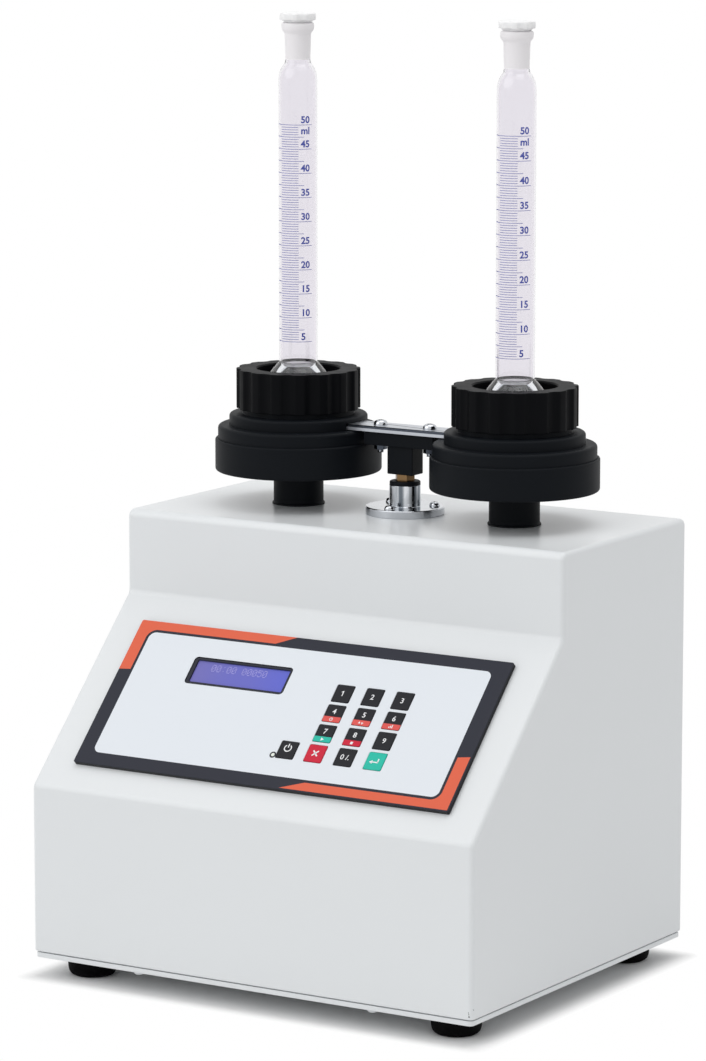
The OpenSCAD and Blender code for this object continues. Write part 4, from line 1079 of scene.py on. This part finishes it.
class APPARATUS_OT_inlet(bpy.types.Operator):
    """Make the mains inlet and its screws"""
    bl_idname = "apparatus.inlet"
    bl_label = "Mains inlet"

    def execute(self, context):
        screw_x = (-20, 20)
        flange = soften(plate(50, 24, 0, 2, 3), 0.5, 3, above(1))
        body = plate(27.4, 19.8, -22, 1, 1.5)
        well = soften(plate(24.4, 16.8, -15, 3), 3, 2, lambda e: all(v.co.y < 0 for v in e.verts)
                      and abs(e.verts[0].co.z - e.verts[1].co.z) > 9)
        holes = [moved(rod(3.2, -1, 3, 24), x) for x in screw_x]
        shell = joined(cut(flange, well.copy(), *holes), cut(body, well))
        blades = [inked(moved(plate(2, 4, -16, -1, 0, 0.4), x, y), 1)
                  for x, y in ((-7, 2), (7, 2), (0, -2))]
        whole = placed(joined(shell, *blades), inlet_place())
        finish = [inlet_plastic(), zinc_steel()]
        piece("mains_socket", whole, finish, "housing", ["mains_inlet"], "inlet_plastic")
        screws = copies(pan_screw(3, 6.5), [inlet_place() @ at(x, 0, 2) for x in screw_x])
        piece("inlet_fixings", screws, [zinc_steel()], "housing", ["inlet_screws"], "zinc_steel")
        return {"FINISHED"}


class APPARATUS_OT_guides(bpy.types.Operator):
    """Turn the guide bushes and the flange that guides the lift rod"""
    bl_idname = "apparatus.guides"
    bl_label = "Guides"

    def execute(self, context):
        low, bore = -11.5, 8.05
        bush = turned([(bore, low), (12, low, 0.5), (12, 0), (15.8, 0), (15.8, 0.8, 0.3),
                       (15, 1.6, 0.3), (15, 20.5, 0.8), (bore, 20.5, 0.5)])
        bushes = at_stations(moved(bush, z=TOP_Z))
        piece("bushes", bushes, [turned_acetal()], "housing", ["guide_bushes"], "black_acetal")
        bore, rim, post, top, post_top = 5.55, 23.5, 9.4, 4.8, 17.4
        flange = turned([(bore, low), (post, low), (post, 0), (rim, 0, 0.3), (rim, top, 0.7),
                         (post, top, 0.5), (post, post_top, 0.3), (bore, post_top)])
        liner = turned([(bore, post_top), (9.2, post_top), (9.2, 19.8, 0.9), (bore, 19.8, 0.5)])
        places = [tilt(a) @ at(17.5, 0, top) for a in (30, 150, 270)]
        bored = cut(flange, copies(rod(3.4, -6, 1, 24), places))
        # Faces above the flange's face are the post, which takes the bar with painted reflection
        # streaks
        for face in bored.faces:
            if face.calc_center_median().z > top + 0.2:
                face.material_index = 2
        axis = at(0, STATION.y, TOP_Z)
        guide = placed(joined(bored, inked(liner, 1)), axis)
        finish = [chrome_plate(), milled_acetal(), polished_bar()]
        piece("rod_guide", guide, finish, "housing", ["guide_flange"], "chrome")
        screws = placed(copies(pan_screw(3.2, 9.3, head=1.0), places), axis)
        piece("guide_fixings", screws, [chrome_plate()], "housing", ["flange_screws"], "chrome")
        return {"FINISHED"}


class APPARATUS_OT_link(bpy.types.Operator):
    """Make the guide block and the link plate that joins the holders to it"""
    bl_idname = "apparatus.link"
    bl_label = "Link"

    def execute(self, context):
        screw_x = (-17, 17)
        under, seat, stem_low = COLLAR_Z - 7.5, COLLAR_Z + 0.7, STEM_Z - 0.7
        bores = [moved(rod(4.2, COLLAR_Z - 20, COLLAR_Z + 20, 32), x) for x in screw_x]
        wings = plate(48, 16, under, seat, 0, 0.5)
        stem = plate(17.4, 12.5, stem_low, under + 0.2, 0, 0.5)
        foot = rod(6.2, STEM_Z - 1, STEM_Z + 12.1, 32)
        block = joined(cut(wings, *[b.copy() for b in bores]), cut(stem, foot))
        block = moved(block, y=STATION.y)
        piece("lift_block", block, [milled_acetal()], "carriage", ["guide_block"], "black_acetal")
        strip = soften(plate(110, 20, seat, LINK_TOP, 0.6), 1.5, 1, above(LINK_TOP - 0.1))
        # The strip's chamfer faces take the dark ground steel: a painted dark reflection along the
        # chamfer
        for face in strip.faces:
            face.material_index = int(0.2 < face.normal.z < 0.9)
        strip = moved(cut(strip, *bores), y=STATION.y)
        finish = [brushed_steel(), ground_steel()]
        piece("link_strip", strip, finish, "carriage", ["link_plate"], "chrome")
        screws = copies(pan_screw(4, 16.5, 6, 1.05), [at(x, STATION.y, LINK_TOP) for x in screw_x])
        piece("link_fixings", screws, [chrome_plate()], "carriage", ["link_screws"], "chrome")
        nuts = copies(hex_nut(8, 3.2, 4.2), [at(x, STATION.y, under) for x in screw_x])
        piece("link_hex_nuts", nuts, [ground_steel()], "carriage", ["link_nuts"], "zinc_steel")
        low, high, flats, grip_top = ROD_LOW.z, ROD_HIGH.z, TOP_Z + 20, STEM_Z - 0.6
        shaft = turned([(0, low), (5.5, low, 0.6), (5.5, flats), (3, flats), (3, high, 0.5),
                        (0, high)], 64)
        grip = placed(hex_nut(12.2, grip_top - flats, 6.1), at(z=grip_top) @ tilt(-19))
        whole = moved(joined(shaft, grip), y=STATION.y)
        piece("lift_bar", whole, [turned_brass()], "carriage", ["lift_rod"], "brass")
        return {"FINISHED"}


class APPARATUS_OT_holders(bpy.types.Operator):
    """Turn the discs and the cups that hold the glass"""
    bl_idname = "apparatus.holders"
    bl_label = "Holders"

    def execute(self, context):
        edge = mm(station().rounding)
        bore, socket_z, pad = 4.1, DISC_Z + 10, CUP_Z - 11
        disc, step, collar, wall, well = 50, 48.3, 41.5, 33.5, 31
        shaft, head, head_z = 8.1, 6.6, pad - 5
        lower = turned([(bore, socket_z), (bore, STEP_Z), (disc, STEP_Z, edge),
                        (disc, DISC_Z, 1.25 * edge), (shaft, DISC_Z), (shaft, socket_z)], 128)
        upper = turned([(bore, STEP_Z), (bore, COLLAR_Z), (step, COLLAR_Z, 1.7 * edge),
                        (step, STEP_Z)], 128)
        cup = turned([(bore, COLLAR_Z), (collar, COLLAR_Z), (collar, pad, 1.5 * edge),
                      (wall, pad, 0.4), (wall, CUP_Z, 0.5), (well, CUP_Z, 0.5), (well, pad),
                      (head, pad), (head, head_z), (bore, head_z)], 128)
        slot = moved(plate(2 * 55.3, 20.6, COLLAR_Z - 1, LINK_TOP + 0.3), y=STATION.y)
        for name, node, solid in (
            ("lower_discs", "base_discs", at_stations(lower)),
            ("step_discs", "upper_discs", at_stations(upper)),
            ("glass_cups", "holder_cups", cut(at_stations(cup), slot)),
        ):
            piece(name, solid, [turned_acetal()], "carriage", [node], "black_acetal")
        return {"FINISHED"}


class APPARATUS_OT_rings(bpy.types.Operator):
    """Make the fluted clamp rings"""
    bl_idname = "apparatus.rings"
    bl_label = "Clamp rings"

    def execute(self, context):
        sizes = station()
        radius, low, high = (RING_HIGH.x - RING_LOW.x) / 2, RING_LOW.z, RING_HIGH.z
        thread, mouth, flare, lip, rim = 33.8, 25, 26.2, low + 13, 0.5
        for side, s in SIDES.items():
            grip = fluted(sizes.flutes, radius, mm(sizes.flute_radius), mm(sizes.flute_depth),
                          low, high, rim)
            well = turned([(0, low - 1), (thread, low - 1), (thread, lip), (mouth, lip),
                           (mouth, high - 0.8), (flare, high + 0.4), (flare, high + 1),
                           (0, high + 1)])
            ring = moved(cut(grip, well), s * STATION.x, STATION.y)
            piece(side + "_grip_ring", ring, [moulded_acetal()], side + "_ring",
                  [side + "_clamp_ring"], "black_acetal")
        return {"FINISHED"}


class APPARATUS_OT_cylinders(bpy.types.Operator):
    """Blow the glass cylinders and print their graduations"""
    bl_idname = "apparatus.cylinders"
    bl_label = "Glass cylinders"
    # Angle that the scale faces, and a line's reach round it for every so many half millilitres
    facing = -58
    lines = {10: (-88, 45), 5: (-88, 19), 1: (-56, 2)}

    def glass(self):
        """Cylinder on its hollow foot, drawn with heights from the foot."""
        inner, shoulder_z, joint_z, foot_z = TUBE_RADIUS - 1, 197, 209.5, 28.7

        def shoulder(tube, neck, rise):
            """Part of an oval from the tube in to the neck."""
            last, steps = pi / 3, 8
            curve = [(tube - (tube - neck) * (1 - cos(t)) / (1 - cos(last)),
                      shoulder_z + rise * sin(t) / sin(last))
                     for t in [last * i / steps for i in range(steps + 1)]]
            return [*curve[:-1], (*curve[-1], 2.8)]

        foot = [(0, 25.8), (7.2, 25.8, 1.5), (12.6, 19, 1.5), (26, 3, 0.6), (26, 0, 0.4),
                (30, 0, 0.6), (30, 4, 1.5), (18, 21.6, 2), (TUBE_RADIUS, 28.8, 0.4)]
        neck = [(7.42, 210.4), (7.85, 224.8, 0.9), (9.7, 226.8, 1.4), (9.7, 231, 1.4),
                (6.65, 231, 0.8), (6.18, 210.4)]
        floor = [(inner, 28, 0.6), (0, 28)]
        bm = turned([*foot, *shoulder(TUBE_RADIUS, 7.3, 10.5), *neck,
                     *reversed(shoulder(inner, 6.1, 9.3)), *floor], 72)
        for face in bm.faces:
            middle = face.calc_center_median()
            joint = face.normal.xy.dot(middle.xy) > -0.1 and middle.z > joint_z
            # The ceiling of the hollow foot takes the milky glass: painted light, so that the
            # tube's floor reads light through the clear glass
            milky_ceiling_painted_light = face.normal.z < -0.5 and 25 < middle.z < 26
            face.material_index = 1 if joint or milky_ceiling_painted_light else 2 if middle.z < foot_z else 0
        return moved(bm, z=GLASS_LOW.z)

    def marks(self):
        """Graduation lines every half millilitre, with numbers every five."""
        sizes = station()
        radius, half = TUBE_RADIUS + PRINT_LIFT, mm(sizes.line_width) / 2
        tall, step, first_z = mm(sizes.number_height), mm(sizes.ml_step), mm(sizes.first_line)
        bm = bmesh.new()
        for tick in range(10, 101):
            z = first_z + (tick / 2 - 5) * step
            reach = next(self.lines[every] for every in self.lines if tick % every == 0)
            start, end = [radians(self.facing + a) for a in reach]
            x, y = radius * cos(start), radius * sin(start)
            ends = [bm.verts.new((x, y, z + d)) for d in (-half, half)]
            swept(bm, [*ends, bm.edges.new(ends)], end - start, 24)
        words = [(str(value), first_z + (value - 5) * step + tall / 2 + 1)
                 for value in range(5, 51, 5)]
        words.append(("ml", first_z + 45 * step - tall / 2 - 1.2))
        # Numbers stand further off than lines, because their faces cross the curve of the tube
        number_radius, number_turn = radius + 0.09, self.facing + 9
        numbers = [wrapped(lettering(text, tall, "LEFT", 0.03), number_radius, number_turn, z)
                   for text, z in words]
        return joined(bm, *numbers)

    def execute(self, context):
        for side, s in SIDES.items():
            glass, marks = [moved(part, s * STATION.x, STATION.y)
                            for part in (self.glass(), self.marks())]
            finish = [drawn_glass(), ground_glass(), pressed_glass()]
            piece(side + "_glass_cylinder", glass, finish, side + "_glass", [side + "_cylinder"],
                  "clear_glass")
            piece(side + "_graduations", marks, [fired_ink()], side + "_glass")
        return {"FINISHED"}


class APPARATUS_OT_stoppers(bpy.types.Operator):
    """Mould the stoppers"""
    bl_idname = "apparatus.stoppers"
    bl_label = "Stoppers"

    def execute(self, context):
        for side, s in SIDES.items():
            head = fluted(8, radius=10.8, scoop_radius=7, depth=0.9, low=1.4, high=5.6, rim=0.6)
            plug = turned([(0, 1.6), (9.8, 1.6), (8, 0, 0.4), (6.35, 0), (6.03, -15, 0.8),
                           (5, -15, 0.5), (5.2, -2, 1), (0, -2)], 48)
            whole = moved(joined(head, plug), s * STATION.x, STATION.y, GLASS_HIGH.z)
            piece(side + "_glass_stopper", whole, [stopper_plastic()], side + "_plug",
                  [side + "_stopper"], "stopper_plastic")
        return {"FINISHED"}


class APPARATUS_OT_inner_works(bpy.types.Operator):
    """Finish the boards, the drive and the small parts inside, which keep their CAD shapes"""
    bl_idname = "apparatus.inner_works"
    bl_label = "Inner works"

    def execute(self, context):
        dress(circuit_laminate(), "display_module", "keypad_board", "control_board")
        dress(zinc_steel(), "dome_switches", "bush_nuts", "motor_bracket", "drive_screws",
              "cam_set_screw", "holder_screws")
        dress(ground_steel(), "motor_shaft", "snail_cam", "cam_follower", "holder_shafts")
        dress(turned_brass(), "board_standoffs")
        dress(folded_aluminium(), "power_supply")
        dress(motor_enamel(), "drive_motor")
        dress(rubber(), "seat_pads", "left_ring_seal", "right_ring_seal")
        return {"FINISHED"}


class APPARATUS_OT_stage(bpy.types.Operator):
    """Set the floor, the light and the camera"""
    bl_idname = "apparatus.stage"
    bl_label = "Stage"
    # Place, size and power of each lamp
    lamps = {"key_light": ((-1.6, -2.6, 2.6), 4.2, 47), "top_light": ((0.4, 0.2, 3.0), 2.5, 26)}
    lit_point = Vector((0, 0, 0.25))

    def execute(self, context):
        scene = context.scene
        settings = scene.apparatus_stage
        scene.view_settings.view_transform = "Standard"
        bm = bmesh.new()
        bmesh.ops.create_grid(bm, x_segments=1, y_segments=1, size=20)
        floor = as_object("studio_floor", bm)
        floor.data.materials.append(studio_paper())
        floor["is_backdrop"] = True
        world = bpy.data.worlds.new("studio")
        world.use_nodes = True
        scene.world = world
        back = world.node_tree.nodes["Background"]
        back.inputs["Color"].default_value = (1, 1, 1, 1)
        level = add(world, "MapRange", {"Value": plain_rays(world), "To Min": settings.ambient,
                                        "To Max": 1.0})
        world.node_tree.links.new(level, back.inputs["Strength"])
        for name, (place, size, power) in self.lamps.items():
            light = bpy.data.lights.new(name, "AREA")
            light.shape, light.size, light.energy = "DISK", size, power
            lamp = bpy.data.objects.new(name, light)
            lamp.location = place
            way = self.lit_point - lamp.location
            lamp.rotation_euler = way.to_track_quat("-Z", "Y").to_euler()
            scene.collection.objects.link(lamp)
        camera = bpy.data.objects.new("camera", bpy.data.cameras.new("camera"))
        camera.data.lens = settings.lens
        turn, rise = settings.azimuth, settings.elevation
        back_off = Vector((sin(turn) * cos(rise), -cos(turn) * cos(rise), sin(rise)))
        camera.location = Vector(settings.target) + settings.distance * back_off
        camera.rotation_euler = (-back_off).to_track_quat("-Z", "Y").to_euler()
        scene.collection.objects.link(camera)
        scene.camera = camera
        return {"FINISHED"}


class APPARATUS_PT_pieces(bpy.types.Panel):
    """Lists the steps and the settings"""
    bl_label = "Bulk density apparatus"
    bl_idname = "APPARATUS_PT_pieces"
    bl_space_type = "VIEW_3D"
    bl_region_type = "UI"
    bl_category = "Apparatus"

    def draw(self, context):
        for step in STEPS:
            self.layout.operator(step.bl_idname)
        for name, group in GROUPS.items():
            box = self.layout.box()
            box.label(text=group.__doc__)
            for prop in group.__annotations__:
                box.prop(getattr(context.scene, name), prop)


STEPS = (
    APPARATUS_OT_stage, APPARATUS_OT_cover, APPARATUS_OT_base, APPARATUS_OT_panel,
    APPARATUS_OT_display, APPARATUS_OT_keys, APPARATUS_OT_lamp, APPARATUS_OT_inlet,
    APPARATUS_OT_guides, APPARATUS_OT_link, APPARATUS_OT_holders, APPARATUS_OT_rings,
    APPARATUS_OT_cylinders, APPARATUS_OT_stoppers, APPARATUS_OT_inner_works,
)
GROUPS = {
    "apparatus_console": ConsoleSizes, "apparatus_station": StationSizes,
    "apparatus_colours": FinishColours, "apparatus_stage": StageSettings,
}


def register():
    """Add the classes and their settings."""
    for cls in (*GROUPS.values(), *STEPS, APPARATUS_PT_pieces):
        bpy.utils.register_class(cls)
    for name, group in GROUPS.items():
        setattr(bpy.types.Scene, name, PointerProperty(type=group))


def unregister():
    """Take the settings and the classes away."""
    for name in GROUPS:
        delattr(bpy.types.Scene, name)
    for cls in (*GROUPS.values(), *STEPS, APPARATUS_PT_pieces):
        bpy.utils.unregister_class(cls)


def main():
    """Build the scene step by step and work out the boxes of both models."""
    register()
    for step in STEPS:
        space, call = step.bl_idname.split(".")
        getattr(getattr(bpy.ops, space), call)()
    boxes = {"cad": CAD_BOX, "visual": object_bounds()}
    {name: [list(corner) for corner in box] for name, box in boxes.items()}


if __name__ == "__main__":
    main()
